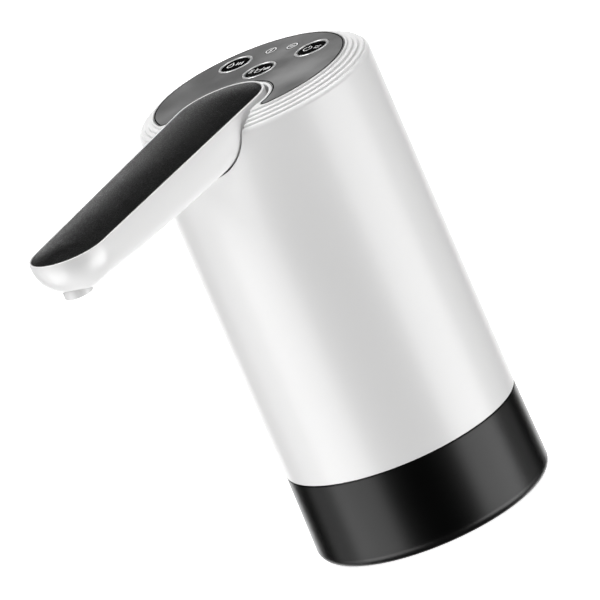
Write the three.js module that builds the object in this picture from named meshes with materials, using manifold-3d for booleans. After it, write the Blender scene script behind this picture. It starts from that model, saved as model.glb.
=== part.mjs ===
// A rechargeable pump that stands on the neck of a large water bottle and pours through a folding arm.
// Millimetres. The base stands on z = 0 about the z axis, and the arm points along -y.
import * as THREE from "three";
import { mergeVertices } from "three/addons/utils/BufferGeometryUtils.js";
import Module from "manifold-3d";

// Clearances and overrun
const fitGap = 0.3; // air between hidden neighbours
const hairGap = 0.15; // seam between pieces that show
const overrun = 2; // how far a cutter passes the face it cuts
const weldDistance = 0.0005;

// Number of sides of a round piece, and of steps in a curve
const largeSides = 44;
const hiddenSides = 24; // of wide pieces inside
const mediumSides = 18;
const smallSides = 10;
const tinySides = 6;
const seatSides = 32; // of the arm's seat, which the root turns in with little air
const hoseSides = 8;
const leadSides = 6;
const gasketSides = 4;
const panelSteps = 32;
const notchSteps = 16;
const hornSteps = 4;
const slotSteps = 7;
const filletSteps = 3;
const shoulderSteps = 3;
const endSteps = 12; // round each end of the arm
const sideSteps = 3; // along each side of the arm
const hullSteps = 6; // down the arm's round underside
const hollowSteps = 4; // down the inside of it
const bendSteps = 4;

// White body
const bodyRadius = 36;
const bodyWall = 2.2;
const baseHeight = 27.6;
const panelLevel = 141.9; // height of the control panel's face
const stepCount = 4;
const stepRun = 1.4;
const stepDrop = 0.77;
const stepLean = 0.12; // how far a riser leans in
const rimWidth = 0.7; // white rim between the panel and the first step
const shoulderDrop = 1.45;
const haunch = 2.4; // chamfer inside the wall under the steps
const deckThickness = 1.8;

// Control panel
const panelMargin = 6.2; // from the body's outside to the panel's edge
const panelThickness = 1.2;
const hornRadius = 1.9;
const buttonSpread = 13.65;
const buttonMargin = 3.56; // from the side buttons' rings to the panel's edge
const buttonFront = 6.5;
const ringRadius = 5.4;
const ringWidth = 0.75;
const ringRise = 0.15;
const ringBevel = 0.15;
const buttonFlange = 0.9; // how far the flange under the deck passes the button's face
const buttonFlangeHeight = 1.2;
const buttonTravel = 0.6;
const buttonEdge = 0.3;
const lensRadius = 1.9;
const lensSpread = 3.8;
const lensInset = 8.8; // from the panel's edge to the lenses' middle
const lensFlange = 0.6;
const lensFlangeHeight = 1;

// Folding arm
const rootOffset = 18.7; // from the body's axis to the centre of the arm's root
const armSpan = 92.5; // from the centre of the root to the centre of the tip
const rootRadius = 14.4;
const tipRadius = 12.5;
const rootDepth = 14.25;
const tipDepth = 11.8;
const armRise = 1.3; // the arm's flat top above the panel
const armSide = 1.55; // straight side below the flat top
const armWall = 1.8;
const inlayMargin = 0.84;
const inlayThickness = 1.4;
const inlayBevel = 0.25;
const inlayCrown = 0.8; // how far the inlay's middle stands above its edge
const crownSteps = 2;
const pivotDrop = 3.2; // the pivot below the panel
const pinRadius = 1;
const pinGap = 0.2;
const pinLength = 9.5;
const hubRadius = 2.8;
const hubLength = 3;
const hubInset = 1.65; // of the hub's end from the widest part of the root
const nozzleRadius = 4.4;
const nozzleOffset = 4.25; // the nozzle beyond the centre of the tip
const nozzleDrop = 0.3; // how far the nozzle stands below the arm at its middle
const nozzleBevel = 0.25;
const nozzleMouth = 3.3;
const nozzleMouthDepth = 1.1;
const nozzleShoulder = 1.3; // height of the nozzle's shoulder above the arm's underside
const nozzleSpigot = 1.9; // height of the spigot above the shoulder

// Seat of the arm in the body
const sweepGap = 0.15; // air round the root while it turns
const seatWall = 1.6;
const collarWidth = 1.2;
const slotGap = 0.5;
const slotFlare = 1.5; // how much wider the slot is where it meets the body's outside at the top
const slotFlareDrop = 3;
const cheekRadius = 3.4; // boss round the pin on the seat's outside
const cheekLength = 4.2;

// Hoses
const hoseRadius = 2.7;
const hoseBore = 2.1;
const spigotRoot = 1.6;
const spigotRidge = 1.85;
const spigotBore = 1;
const spigotLength = 6;
const ballRadius = 2.95;
const hoseTurn = 4.6; // radius of the arm hose's bend above the nozzle

// Base and the socket for the bottle's neck
const baseFlare = 0.4;
const baseFillet = 3.4;
const baseWall = 6.4; // at the top of the base
const socketLift = 8.1; // from the socket's ceiling to the seam
const baseDeck = 3.5;
const collarHeight = 3.5; // of the base's collar inside the white body
const collarWall = 2.2;
const grooveDepth = 1.4;
const grooveHeight = 1.5;
const gasketRadius = 0.5;
const sealLow = 2;
const sealWall = 1;
const lipCount = 3;
const lipReach = 1.1;
const lipRootHeight = 2;
const lipTipHeight = 0.7;
const screwInset = 6; // from the socket's wall to the base screws

// Inlet elbow for the suction hose
const elbowRadius = 4.2;
const elbowFlange = 7.5;
const elbowFlangeHeight = 1.6;
const elbowHeight = 7.4; // of its block above the base's deck
const elbowReach = 9;
const elbowLift = 0.7; // of the side arm above the middle of the block
const barbLength = 8.5;
const barbRoot = 2.7;
const barbRidge = 3.2;
const barbBore = 1.8;
const barbCount = 3;
const barbLandShare = 0.75; // where a barb's ridge ends, as a share of the pitch

// Chassis that holds the motor and the cell
const chassisThickness = 2;
const chassisAir = 0.5; // between the chassis and the body's wall
const cupWall = 1.6;
const cupHeight = 6;
const postRadius = 3.2;
const postX = -2.5;
const postSpread = 14;
const clampLevel = 56;
const clampHeight = 4;
const clampWall = 2;
const pillarCount = 3;
const pillarRadius = 3.4;
const hoseHoleNear = 17;
const hoseInset = 8.8; // from the body's wall to the rising suction hose
const hoseHoleRadius = 3.3;

// Motor, pump and cell
const pumpX = 13;
const cellX = -14.5;
const driveY = 2;
const motorRadius = 12.2;
const motorLength = 31;
const motorBevel = 1;
const motorBoss = 4;
const motorBossHeight = 1.8;
const shaftRadius = 1;
const shaftGap = 0.25;
const shaftDepth = 6;
const frameRadius = 13.4;
const frameHeight = 14;
const frameWall = 2.4;
const frameFloor = 2.6;
const wheelRadius = 6;
const wheelHeight = 3.2;
const wheelLift = 2.4;
const crankOffset = 3.4;
const crankLength = 2.2;
const diaphragmHeight = 2;
const chamberCount = 3;
const chamberRadius = 3.4;
const chamberCircle = 6.6;
const chamberDepth = 1.6;
const headHeight = 8;
const headBevel = 1.2;
const portSpread = 5;
const cellRadius = 9.2;
const cellLength = 65;
const cellBevel = 0.6;
const cellCap = 3.2;
const cellCapHeight = 0.8;

// Circuit board and what it carries
const boardAir = 2.8; // from the body's wall to the board
const boardThickness = 1.6;
const boardFront = 9.5; // straight front edge, this far in front of the body's axis
const boardPostRadius = 2.2;
const boardPostInset = 5; // from the board's edge to its side posts
const boardPostY = -2;
const boardPostBackX = 9.5;
const boardPostBackInset = 3.5;
const switchSide = 6;
const switchHeight = 3.1;
const plungerRadius = 1.7;
const plungerHeight = 0.4;
const ledLength = 3.5;
const ledWidth = 2.8;
const ledHeight = 1.9;
const portWidth = 8.94;
const portHeight = 3.26;
const portDepth = 7.3;
const portWall = 0.35;
const portFloor = 1.2;
const tongueWidth = 6.6;
const tongueHeight = 0.7;
const tongueLength = 4.4;
const portHoleGap = 0.35;
const portLift = 0.1;

// Screws
const screwRadius = 1.1;
const screwGap = 0.15;
const screwBevel = 0.4;
const screwHead = 2.4;
const screwHeadHeight = 1.6;
const baseScrewLength = 6.5;
const clampScrewLength = 8;
const boardScrewRadius = 0.9;
const boardScrewHead = 1.8;
const boardScrewHeadHeight = 1.2;
const boardScrewLength = 5;

// Where the hoses and leads bend on their way up
const leadRadius = 0.9;
const suctionBend = 94; // height where the suction hose leaves the wall
const suctionCrest = 106.5; // height of its bend over the pump
const suctionAside = 4.6; // how far aside it is halfway over
const hoseEndRun = 4; // straight run of a hose beyond the spigot it is pushed on
const riserCrest = 111;
const riserAside = 15; // how far aside the riser is at its crest
const riserTurn = 7.5; // how far from the seat's middle it starts to rise again
const riserEndLevel = 117.5;
const leadStandoff = 2.7; // from the pump's side to the motor's lead
const leadBend = 121; // height where both leads turn straight up to the board
const motorLeadX = 8;
const cellLeadY = 12;
const cellLeadRun = 8;

// Heights and radii that follow from the sizes above
const innerRadius = bodyRadius - bodyWall;
const panelRadius = bodyRadius - panelMargin;
const buttonReach = panelRadius - buttonMargin - ringRadius;
const buttonBack = Math.sqrt(buttonReach * buttonReach - buttonSpread * buttonSpread);
const lensBack = panelRadius - lensInset;
const rimRadius = panelRadius + hairGap + rimWidth;
const deckTop = panelLevel - panelThickness - hairGap;
const deckUnder = deckTop - deckThickness;
const pivotHeight = panelLevel - pivotDrop;
const topAbovePivot = armRise + pivotDrop;
const sectionLevel = topAbovePivot - armSide; // centre of the arm's round section above the pivot
const mouthRadius = Math.hypot(rootRadius, topAbovePivot) + sweepGap;
const seatRadius = Math.hypot(mouthRadius, pivotDrop);
const panelNotch = mouthRadius + collarWidth;
const buttonRadius = ringRadius - ringWidth - hairGap;
const flangeTop = deckUnder - fitGap;
const switchTop = flangeTop - buttonFlangeHeight - buttonTravel - fitGap;
const boardTop = switchTop - plungerHeight - switchHeight;
const boardUnder = boardTop - boardThickness;
const socketRadius = bodyRadius - baseWall;
const socketDepth = baseHeight - socketLift;
const baseDeckTop = socketDepth + baseDeck;
const screwCircle = socketRadius - screwInset;
const hoseHoleFar = innerRadius - hoseInset;
const boardRadius = innerRadius - boardAir;
const collarRadius = innerRadius - fitGap;
const collarTop = baseHeight + collarHeight;
const chassisUnder = collarTop + fitGap;
const chassisTop = chassisUnder + chassisThickness;
const standLevel = chassisTop + fitGap; // underside of the motor and of the cell
const elbowLevel = baseDeckTop + fitGap + elbowHeight / 2 + elbowLift;
const frameLevel = standLevel + motorLength + fitGap;
const diaphragmLevel = frameLevel + frameHeight + fitGap;
const headLevel = diaphragmLevel + diaphragmHeight + fitGap;
const headTop = headLevel + headHeight;
const halfTurn = Math.PI;
const quarterTurn = Math.PI / 2;

// Finishes
const whitePlastic = new THREE.MeshStandardMaterial({ color: 0xf1f1f0, roughness: 0.28 });
const blackPlastic = new THREE.MeshStandardMaterial({ color: 0x0d0d0e, roughness: 0.35 });
const panelGloss = new THREE.MeshStandardMaterial({ color: 0x2e2f31, roughness: 0.12 });
const buttonGloss = new THREE.MeshStandardMaterial({ color: 0x070708, roughness: 0.15 });
const brightRing = new THREE.MeshStandardMaterial({ color: 0xd9dadc, roughness: 0.18, metalness: 1 });
const blackLeather = new THREE.MeshStandardMaterial({ color: 0x141415, roughness: 0.6 });
const smokedLens = new THREE.MeshStandardMaterial({ color: 0x3a3d42, roughness: 0.1 });
const steel = new THREE.MeshStandardMaterial({ color: 0xb9bcc0, roughness: 0.3, metalness: 1 });
const silicone = new THREE.MeshStandardMaterial({ color: 0xdfe3e2, roughness: 0.5 });
const rubber = new THREE.MeshStandardMaterial({ color: 0x1c1c1d, roughness: 0.8 });
const greyPlastic = new THREE.MeshStandardMaterial({ color: 0x9ea1a4, roughness: 0.5 });
const boardGreen = new THREE.MeshStandardMaterial({ color: 0x1d5b35, roughness: 0.45 });
const cellWrap = new THREE.MeshStandardMaterial({ color: 0x3b6ea8, roughness: 0.4 });
const leadRed = new THREE.MeshStandardMaterial({ color: 0xa3201c, roughness: 0.5 });

const wasm = await Module();
wasm.setup();

// Turns a closed three.js geometry into a solid that can be joined and cut.
function solid(geometry) {
  const bare = geometry.clone();
  bare.deleteAttribute("normal");
  bare.deleteAttribute("uv");
  const merged = mergeVertices(bare, weldDistance);
  const corners = merged.index.array;
  const kept = [];
  for (let i = 0; i < corners.length; i += 3) {
    const [a, b, c] = [corners[i], corners[i + 1], corners[i + 2]];
    if (a !== b && b !== c && c !== a) kept.push(a, b, c);
  }
  const mesh = new wasm.Mesh({
    numProp: 3,
    vertProperties: merged.attributes.position.array,
    triVerts: new Uint32Array(kept),
  });
  return new wasm.Manifold(mesh);
}

// Turns a solid back into a geometry with normals.
function geometryOf(shape) {
  const mesh = shape.getMesh();
  const geometry = new THREE.BufferGeometry();
  geometry.setAttribute("position", new THREE.BufferAttribute(mesh.vertProperties, 3));
  geometry.setIndex(new THREE.BufferAttribute(mesh.triVerts, 1));
  geometry.computeVertexNormals();
  return geometry;
}

function join(first, ...others) {
  return others.reduce((whole, other) => whole.add(other), first);
}

function cut(first, ...cutters) {
  return cutters.reduce((whole, cutter) => whole.subtract(cutter), first);
}

// Names a solid, gives it its finish and places it.
function piece(name, shape, material, x = 0, y = 0, z = 0) {
  const mesh = new THREE.Mesh(geometryOf(shape), material);
  mesh.name = name;
  mesh.position.set(x, y, z);
  return mesh;
}

// Points of an arc about a centre, both ends included.
function arc(x, y, radius, from, to, count, flatten = 1) {
  return Array.from({ length: count + 1 }, (_, i) => {
    const angle = from + ((to - from) * i) / count;
    return [x + radius * Math.cos(angle), y + radius * flatten * Math.sin(angle)];
  });
}

// Twice the signed area inside a closed outline.
function signedArea(outline) {
  return outline.reduce((sum, [x, y], i) => {
    const [nextX, nextY] = outline[(i + 1) % outline.length];
    return sum + x * nextY - nextX * y;
  }, 0);
}

// Revolves a profile of [radius, height] points about z; one that leaves the axis closes on itself.
function revolved(profile, sides) {
  const loop = profile[0][0] === 0 ? profile : [...profile, profile[0]];
  const ordered = signedArea(profile) > 0 ? loop : [...loop].reverse();
  const points = ordered.map(([radius, height]) => new THREE.Vector2(radius, height));
  return solid(new THREE.LatheGeometry(points, sides).rotateX(quarterTurn));
}

// An upright cylinder between two heights.
function cylinder(radius, low, high, sides, x = 0, y = 0) {
  const geometry = new THREE.CylinderGeometry(radius, radius, high - low, sides);
  return solid(geometry.rotateX(quarterTurn).translate(x, y, (low + high) / 2));
}

// A cylinder along x between two places.
function crossCylinder(radius, from, to, sides, y, z) {
  const geometry = new THREE.CylinderGeometry(radius, radius, to - from, sides);
  return solid(geometry.rotateZ(quarterTurn).translate((from + to) / 2, y, z));
}

// A cylinder along y between two places.
function deepCylinder(radius, from, to, sides, x, z) {
  const geometry = new THREE.CylinderGeometry(radius, radius, to - from, sides);
  return solid(geometry.translate(x, (from + to) / 2, z));
}

function box(width, depth, height, x, y, z) {
  return solid(new THREE.BoxGeometry(width, depth, height).translate(x, y, z));
}

function sphere(radius, sides, x = 0, y = 0, z = 0) {
  const geometry = new THREE.SphereGeometry(radius, sides, sides / 2);
  return solid(geometry.rotateX(quarterTurn).translate(x, y, z));
}

// Raises an outline of [x, y] points from one height to another.
function prism(outline, low, high) {
  const shape = new THREE.Shape(outline.map(([x, y]) => new THREE.Vector2(x, y)));
  const geometry = new THREE.ExtrudeGeometry(shape, { depth: high - low, bevelEnabled: false });
  return solid(geometry.translate(0, 0, low));
}

// A round bar or, with a bore, a hose along a smooth curve through points.
function alongCurve(points, radius, sides, steps, bore = 0) {
  const circle = (size) =>
    arc(0, 0, size, 0, 2 * halfTurn, sides)
      .slice(1)
      .map(([x, y]) => new THREE.Vector2(x, y));
  const section = new THREE.Shape(circle(radius));
  if (bore > 0) section.holes.push(new THREE.Path(circle(bore)));
  const stops = points.map((point) => new THREE.Vector3(...point));
  const curve = new THREE.CatmullRomCurve3(stops, false, "centripetal");
  return solid(new THREE.ExtrudeGeometry(section, { steps, extrudePath: curve, bevelEnabled: false }));
}

// Skins rings of equally many points; the first ring and the last are closed with a fan each.
function skinned(rings) {
  const count = rings[0].length;
  const centre = (ring) => ring.reduce((sum, p) => sum.add(p), new THREE.Vector3()).divideScalar(count);
  const vertices = [...rings.flat(), centre(rings[0]), centre(rings.at(-1))];
  const top = rings.length * count;
  const faces = [];
  for (let i = 0; i < count; i++) {
    const next = (i + 1) % count;
    faces.push(top, i, next);
    for (let ring = 0; ring + 1 < rings.length; ring++) {
      const [a, b] = [ring * count + i, ring * count + next];
      faces.push(a, a + count, b, b, a + count, b + count);
    }
    faces.push(top + 1, top - count + next, top - count + i);
  }
  const geometry = new THREE.BufferGeometry().setFromPoints(vertices);
  geometry.setIndex(faces);
  return solid(geometry);
}

// A screw with its head on z = 0 upwards and its shank below; it stands on its head when turned over.
function screw(head, headTall, shank, length) {
  return revolved(
    [
      [0, -length],
      [shank - screwBevel, -length],
      [shank, screwBevel - length],
      [shank, 0],
      [head, 0],
      [head, headTall - screwBevel],
      [head - screwBevel, headTall],
      [0, headTall],
    ],
    tinySides,
  );
}

// Outline of the arm seen from above: a large round end about the pivot, a small one at the tip.
// Each point is [x, y, share of the way to the tip]; shrink draws the sides in and keeps the centres.
function armOutline(root, tip, shrink = 1) {
  const lean = Math.asin((root - tip) / armSpan);
  const rootArc = arc(0, 0, root * shrink, -lean, halfTurn + lean, endSteps);
  const tipArc = arc(0, -armSpan, tip * shrink, halfTurn + lean, 2 * halfTurn - lean, endSteps);
  const between = ([fromX, fromY], [toX, toY], forward) =>
    Array.from({ length: sideSteps }, (_, i) => {
      const share = (i + 1) / (sideSteps + 1);
      const x = fromX + (toX - fromX) * share;
      const y = fromY + (toY - fromY) * share;
      return [x, y, forward ? share : 1 - share];
    });
  return [
    ...rootArc.map(([x, y]) => [x, y, 0]),
    ...between(rootArc.at(-1), tipArc[0], true),
    ...tipArc.map(([x, y]) => [x, y, 1]),
    ...between(tipArc.at(-1), rootArc[0], false),
  ];
}

// Depth of the arm's section, deeper at the root, at a share of the way to the tip.
function sectionDepth(atRoot, atTip, share) {
  return atTip + (atRoot - atTip) * (1 - share * share);
}

// The arm's boat-like hull: flat top, short straight sides, round underside and round ends.
function armHull(inset, top, steps) {
  const [root, tip] = [rootRadius - inset, tipRadius - inset];
  const straight = armOutline(root, tip);
  const rings = [straight.map(([x, y]) => new THREE.Vector3(x, y, top))];
  for (let step = 0; step <= steps; step++) {
    const angle = (quarterTurn * step) / steps;
    const shrink = Math.max(0, Math.cos(angle));
    const ring = armOutline(root, tip, step === steps ? 0 : shrink).map(([x, y, share]) => {
      const depth = sectionDepth(rootDepth - inset, tipDepth - inset, share);
      return new THREE.Vector3(x, y, sectionLevel - depth * Math.sin(angle));
    });
    rings.push(ring);
  }
  return skinned(rings);
}

// The white shell of the arm: a hollow hull with a ledge for the inlay, hubs for the pins
// and a slot for the hose.
function armShell() {
  const hubEnd = rootRadius - hubInset;
  const rightHub = crossCylinder(hubRadius, hubEnd - hubLength, hubEnd, smallSides, 0, 0);
  const recess = armOutline(rootRadius - inlayMargin + hairGap, tipRadius - inlayMargin + hairGap);
  const hollow = armHull(armWall, topAbovePivot + overrun, hollowSteps);
  const shell = join(cut(armHull(0, topAbovePivot, hullSteps), hollow), rightHub, rightHub.mirror([1, 0, 0]));
  const slotWidth = 2 * (hoseRadius + fitGap);
  const reach = rootRadius + overrun;
  // A slot that the riser's end passes through while the arm turns about it
  const sweep = box(slotWidth, reach + slotWidth / 2, reach, 0, (reach - slotWidth / 2) / 2, -reach / 2);
  const sweepBack = box(slotWidth, reach, slotWidth, 0, reach / 2, 0);
  const nozzleY = -armSpan - nozzleOffset;
  return cut(
    shell,
    prism(recess, topAbovePivot - inlayThickness, topAbovePivot + overrun),
    crossCylinder(pinRadius + pinGap, -reach, reach, smallSides, 0, 0),
    sweep,
    sweepBack,
    cylinder(nozzleRadius + hairGap, -rootDepth - overrun, 0, mediumSides, 0, nozzleY),
  );
}

// The grained inlay: a plate with a bevelled edge and a low crown that fills the recess.
function armInlay() {
  const low = topAbovePivot - inlayThickness + hairGap;
  const [root, tip] = [rootRadius - inlayMargin, tipRadius - inlayMargin];
  const ring = (inset, height, shrink = 1) =>
    armOutline(root - inset, tip - inset, shrink).map(([x, y]) => new THREE.Vector3(x, y, height));
  const crown = Array.from({ length: crownSteps + 1 }, (_, i) => {
    const shrink = i / crownSteps;
    return ring(inlayBevel, topAbovePivot + inlayCrown * (1 - shrink * shrink), shrink);
  });
  return skinned([...crown, ring(0, topAbovePivot - inlayBevel), ring(0, low)]);
}

// Underside of the arm below the pivot where the nozzle comes through.
function nozzleLevel() {
  const share = nozzleOffset / tipRadius;
  return sectionLevel - tipDepth * Math.sqrt(1 - share * share);
}

function nozzle() {
  const underside = nozzleLevel();
  const low = underside - nozzleDrop;
  const shoulder = underside + nozzleShoulder;
  const tall = shoulder + nozzleSpigot;
  return revolved(
    [
      [nozzleMouth, low],
      [nozzleRadius - nozzleBevel, low],
      [nozzleRadius, low + nozzleBevel],
      [nozzleRadius, shoulder],
      [spigotRidge, shoulder],
      [spigotRidge, tall - nozzleBevel],
      [spigotRoot, tall],
      [spigotBore, tall],
      [spigotBore, low + nozzleMouthDepth],
      [nozzleMouth, low + nozzleMouthDepth],
    ],
    mediumSides,
  );
}

// The hose in the arm starts in a ball about the pivot, so that it can turn over the riser's end.
function armHose() {
  const nozzleY = -armSpan - nozzleOffset;
  const low = nozzleLevel() + nozzleShoulder + fitGap;
  const bend = arc(nozzleY + hoseTurn, -hoseTurn, hoseTurn, quarterTurn, halfTurn, bendSteps);
  const run = (radius, end) => {
    const route = [[nozzleY + 3 * hoseTurn, 0], ...bend, [nozzleY, end]].map(([y, z]) => [0, y, z]);
    const straight = deepCylinder(radius, nozzleY + 2 * hoseTurn, 0, hoseSides, 0, 0);
    return join(straight, alongCurve(route, radius, hoseSides, 2 * bendSteps));
  };
  const whole = join(sphere(ballRadius, smallSides), run(hoseRadius, low));
  return cut(whole, run(hoseBore, low - overrun), cylinder(hoseBore, -2 * ballRadius, 0, hoseSides));
}

// A dowel of the arm's pivot, along +x from inside the arm's hub to the end of the seat's cheek.
function hingePin() {
  const end = seatRadius + seatWall + cheekLength;
  return crossCylinder(pinRadius, end - pinLength, end, smallSides, 0, 0);
}

// Outline of the panel: a disc with a round notch for the arm and rounded horns beside it.
function panelOutline(grow = 0) {
  const [outer, notch, horn] = [panelRadius + grow, panelNotch - grow, hornRadius + grow];
  const [reach, span] = [outer - horn, notch + horn];
  const hornY = (span * span - reach * reach - rootOffset * rootOffset) / (2 * rootOffset);
  const hornX = Math.sqrt(reach * reach - hornY * hornY);
  const outerAngle = Math.atan2(hornY, hornX);
  const notchAngle = Math.atan2(hornY + rootOffset, hornX);
  return [
    ...arc(0, 0, outer, outerAngle, halfTurn - outerAngle, panelSteps),
    ...arc(-hornX, hornY, horn, halfTurn - outerAngle, 2 * halfTurn - notchAngle, hornSteps).slice(1),
    ...arc(0, -rootOffset, notch, halfTurn - notchAngle, notchAngle, notchSteps).slice(1),
    ...arc(hornX, hornY, horn, halfTurn + notchAngle, 2 * halfTurn + outerAngle, hornSteps).slice(1, -1),
  ];
}

const buttonPlaces = [
  ["left", -buttonSpread, buttonBack],
  ["front", 0, buttonFront],
  ["right", buttonSpread, buttonBack],
];
const lensPlaces = [
  ["left", -lensSpread, lensBack],
  ["right", lensSpread, lensBack],
];

function controlPanel() {
  const plate = prism(panelOutline(), deckTop + hairGap, panelLevel);
  const ringHoles = buttonPlaces.map(([, x, y]) =>
    cylinder(ringRadius + hairGap, deckTop, panelLevel + overrun, mediumSides, x, y));
  const lensHoles = lensPlaces.map(([, x, y]) =>
    cylinder(lensRadius + hairGap, deckTop, panelLevel + overrun, smallSides, x, y));
  return cut(plate, ...ringHoles, ...lensHoles);
}

function buttonRing() {
  const inner = ringRadius - ringWidth;
  const [low, high] = [deckTop + hairGap, panelLevel + ringRise];
  return revolved(
    [
      [inner, low],
      [ringRadius, low],
      [ringRadius, high - ringBevel],
      [ringRadius - ringBevel, high],
      [inner + ringBevel, high],
      [inner, high - ringBevel],
    ],
    mediumSides,
  );
}

function button() {
  const wide = buttonRadius + buttonFlange;
  return revolved(
    [
      [0, flangeTop - buttonFlangeHeight],
      [wide, flangeTop - buttonFlangeHeight],
      [wide, flangeTop],
      [buttonRadius, flangeTop],
      [buttonRadius, panelLevel - buttonEdge],
      [buttonRadius - buttonEdge, panelLevel],
      [0, panelLevel],
    ],
    mediumSides,
  );
}

function lens() {
  const wide = lensRadius + lensFlange;
  return revolved(
    [
      [0, boardTop + ledHeight + fitGap],
      [lensRadius, boardTop + ledHeight + fitGap],
      [lensRadius, flangeTop - lensFlangeHeight],
      [wide, flangeTop - lensFlangeHeight],
      [wide, flangeTop],
      [lensRadius, flangeTop],
      [lensRadius, panelLevel],
      [0, panelLevel],
    ],
    smallSides,
  );
}

// Profile of the white body: the top, the steps and the shoulder, then down the wall and back up inside.
function bodyProfile() {
  const steps = [];
  for (let step = 0; step < stepCount; step++) {
    const foot = rimRadius + step * stepRun;
    const level = panelLevel - step * stepDrop;
    steps.push([foot - stepLean, level], [foot, level - stepDrop]);
  }
  const [lastFoot, lastLevel] = steps.at(-1);
  const bulge = bodyRadius - lastFoot;
  const low = lastLevel - shoulderDrop;
  const shoulder = arc(lastFoot, low, bulge, quarterTurn, 0, shoulderSteps, shoulderDrop / bulge);
  const ceiling = low - haunch / 2;
  return [
    [0, panelLevel],
    ...steps,
    ...shoulder.slice(1),
    [bodyRadius, baseHeight + hairGap],
    [innerRadius, baseHeight + hairGap],
    [innerRadius, ceiling],
    [innerRadius - haunch, deckUnder],
    [0, deckUnder],
  ];
}

// Half the width of the slot's section at the seat's centre height, and its radius underneath.
const slotRadius = sectionDepth(rootDepth, tipDepth, (bodyRadius - rootOffset) / armSpan) + slotGap;

// Section of the slot across the arm: a half round with straight cheeks that open out near the top.
function slotSection(grow, flare) {
  const radius = slotRadius + grow;
  const top = topAbovePivot + overrun;
  const flareLow = pivotDrop - slotFlareDrop;
  const round = arc(0, sectionLevel, radius, -quarterTurn, 0, slotSteps);
  const below = round.filter(([, z]) => z < flareLow);
  const right = [...below, [radius, flareLow], [radius + flare, pivotDrop], [radius + flare, top]];
  return [...right, ...right.slice(1).reverse().map(([x, z]) => [-x, z])];
}

// The slot through the body's wall, wider at the top where it leaves the body.
function slotCutter(grow, flare) {
  const [start, end] = [0, rootOffset - bodyRadius - overrun];
  const ring = (widening, y) => slotSection(grow, widening).map(([x, z]) => new THREE.Vector3(x, y, z));
  return skinned([ring(flare, end), ring(0, start)]).translate(0, -rootOffset, pivotHeight);
}

function bodyShell() {
  const inside = cylinder(bodyRadius - bodyWall / 2, baseHeight, deckTop, largeSides);
  const bowl = sphere(seatRadius + seatWall, mediumSides, 0, -rootOffset, pivotHeight).intersect(inside);
  const liner = slotCutter(seatWall, 0).intersect(inside);
  const cheekEnd = seatRadius + seatWall + cheekLength;
  const pinEnd = cheekEnd + overrun;
  const cheeks = crossCylinder(cheekRadius, -cheekEnd, cheekEnd, smallSides, -rootOffset, pivotHeight);
  const posts = boardPosts.map(([x, y]) =>
    cylinder(boardPostRadius, boardTop + fitGap, deckTop - deckThickness / 2, smallSides, x, y));
  const skin = revolved(bodyProfile(), largeSides);
  const whole = join(skin, bowl, liner, cheeks.intersect(inside), ...posts);
  const postHoles = boardPosts.map(([x, y]) =>
    cylinder(boardScrewRadius + screwGap, boardTop, deckUnder, tinySides, x, y));
  const buttonHoles = buttonPlaces.map(([, x, y]) =>
    cylinder(buttonRadius + hairGap, deckUnder - overrun, deckTop + overrun, mediumSides, x, y));
  const lensHoles = lensPlaces.map(([, x, y]) =>
    cylinder(lensRadius + hairGap, deckUnder - overrun, deckTop + overrun, smallSides, x, y));
  return cut(
    whole,
    prism(panelOutline(hairGap), deckTop, panelLevel + overrun),
    sphere(seatRadius, seatSides, 0, -rootOffset, pivotHeight),
    slotCutter(0, slotFlare),
    crossCylinder(pinRadius + pinGap, -pinEnd, pinEnd, smallSides, -rootOffset, pivotHeight),
    cylinder(hoseRadius + 2 * fitGap, pivotHeight - pinEnd, pivotHeight, smallSides, 0, -rootOffset),
    portHole(),
    ...postHoles,
    ...buttonHoles,
    ...lensHoles,
  );
}

// A rounded slot on its side, along y, for the charging socket.
function lyingSlot(width, height, from, to) {
  const half = width / 2 - height / 2;
  const side = (x) => deepCylinder(height / 2, from, to, smallSides, x, 0);
  return join(side(-half), side(half), box(2 * half, to - from, height, 0, (from + to) / 2, 0));
}

const portLevel = boardTop + portLift + portHeight / 2;
const portMouth = innerRadius - fitGap; // how far back the socket reaches

function portHole() {
  const [width, height] = [portWidth + 2 * portHoleGap, portHeight + 2 * portHoleGap];
  const hole = lyingSlot(width, height, portMouth - portDepth, bodyRadius + overrun);
  return hole.translate(0, 0, portLevel);
}

function chargeSocket() {
  const floor = portFloor - portDepth;
  const can = lyingSlot(portWidth, portHeight, -portDepth, 0);
  const hollow = lyingSlot(portWidth - 2 * portWall, portHeight - 2 * portWall, floor, overrun);
  const tongueMiddle = floor - portWall + tongueLength / 2;
  const tongue = box(tongueWidth, tongueLength, tongueHeight, 0, tongueMiddle, 0);
  return join(cut(can, hollow), tongue);
}

const boardPosts = [
  [boardPostInset - boardRadius, boardPostY],
  [boardRadius - boardPostInset, boardPostY],
  [-boardPostBackX, boardRadius - boardPostBackInset],
  [boardPostBackX, boardRadius - boardPostBackInset],
];

function circuitBoard() {
  const disc = cylinder(boardRadius, boardUnder, boardTop, hiddenSides);
  const [low, high] = [boardUnder - overrun, boardTop + overrun];
  const frontMiddle = -boardFront - boardRadius / 2;
  const front = box(3 * boardRadius, boardRadius, high - low, 0, frontMiddle, (low + high) / 2);
  const notch = cylinder(seatRadius + seatWall + fitGap, low, high, mediumSides, 0, -rootOffset);
  const holes = boardPosts.map(([x, y]) =>
    cylinder(boardScrewRadius + screwGap, low, high, tinySides, x, y));
  return cut(disc, front, notch, ...holes);
}

function tactSwitch() {
  const body = box(switchSide, switchSide, switchHeight, 0, 0, switchHeight / 2);
  return join(body, cylinder(plungerRadius, switchHeight / 2, switchHeight + plungerHeight, tinySides));
}

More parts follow.
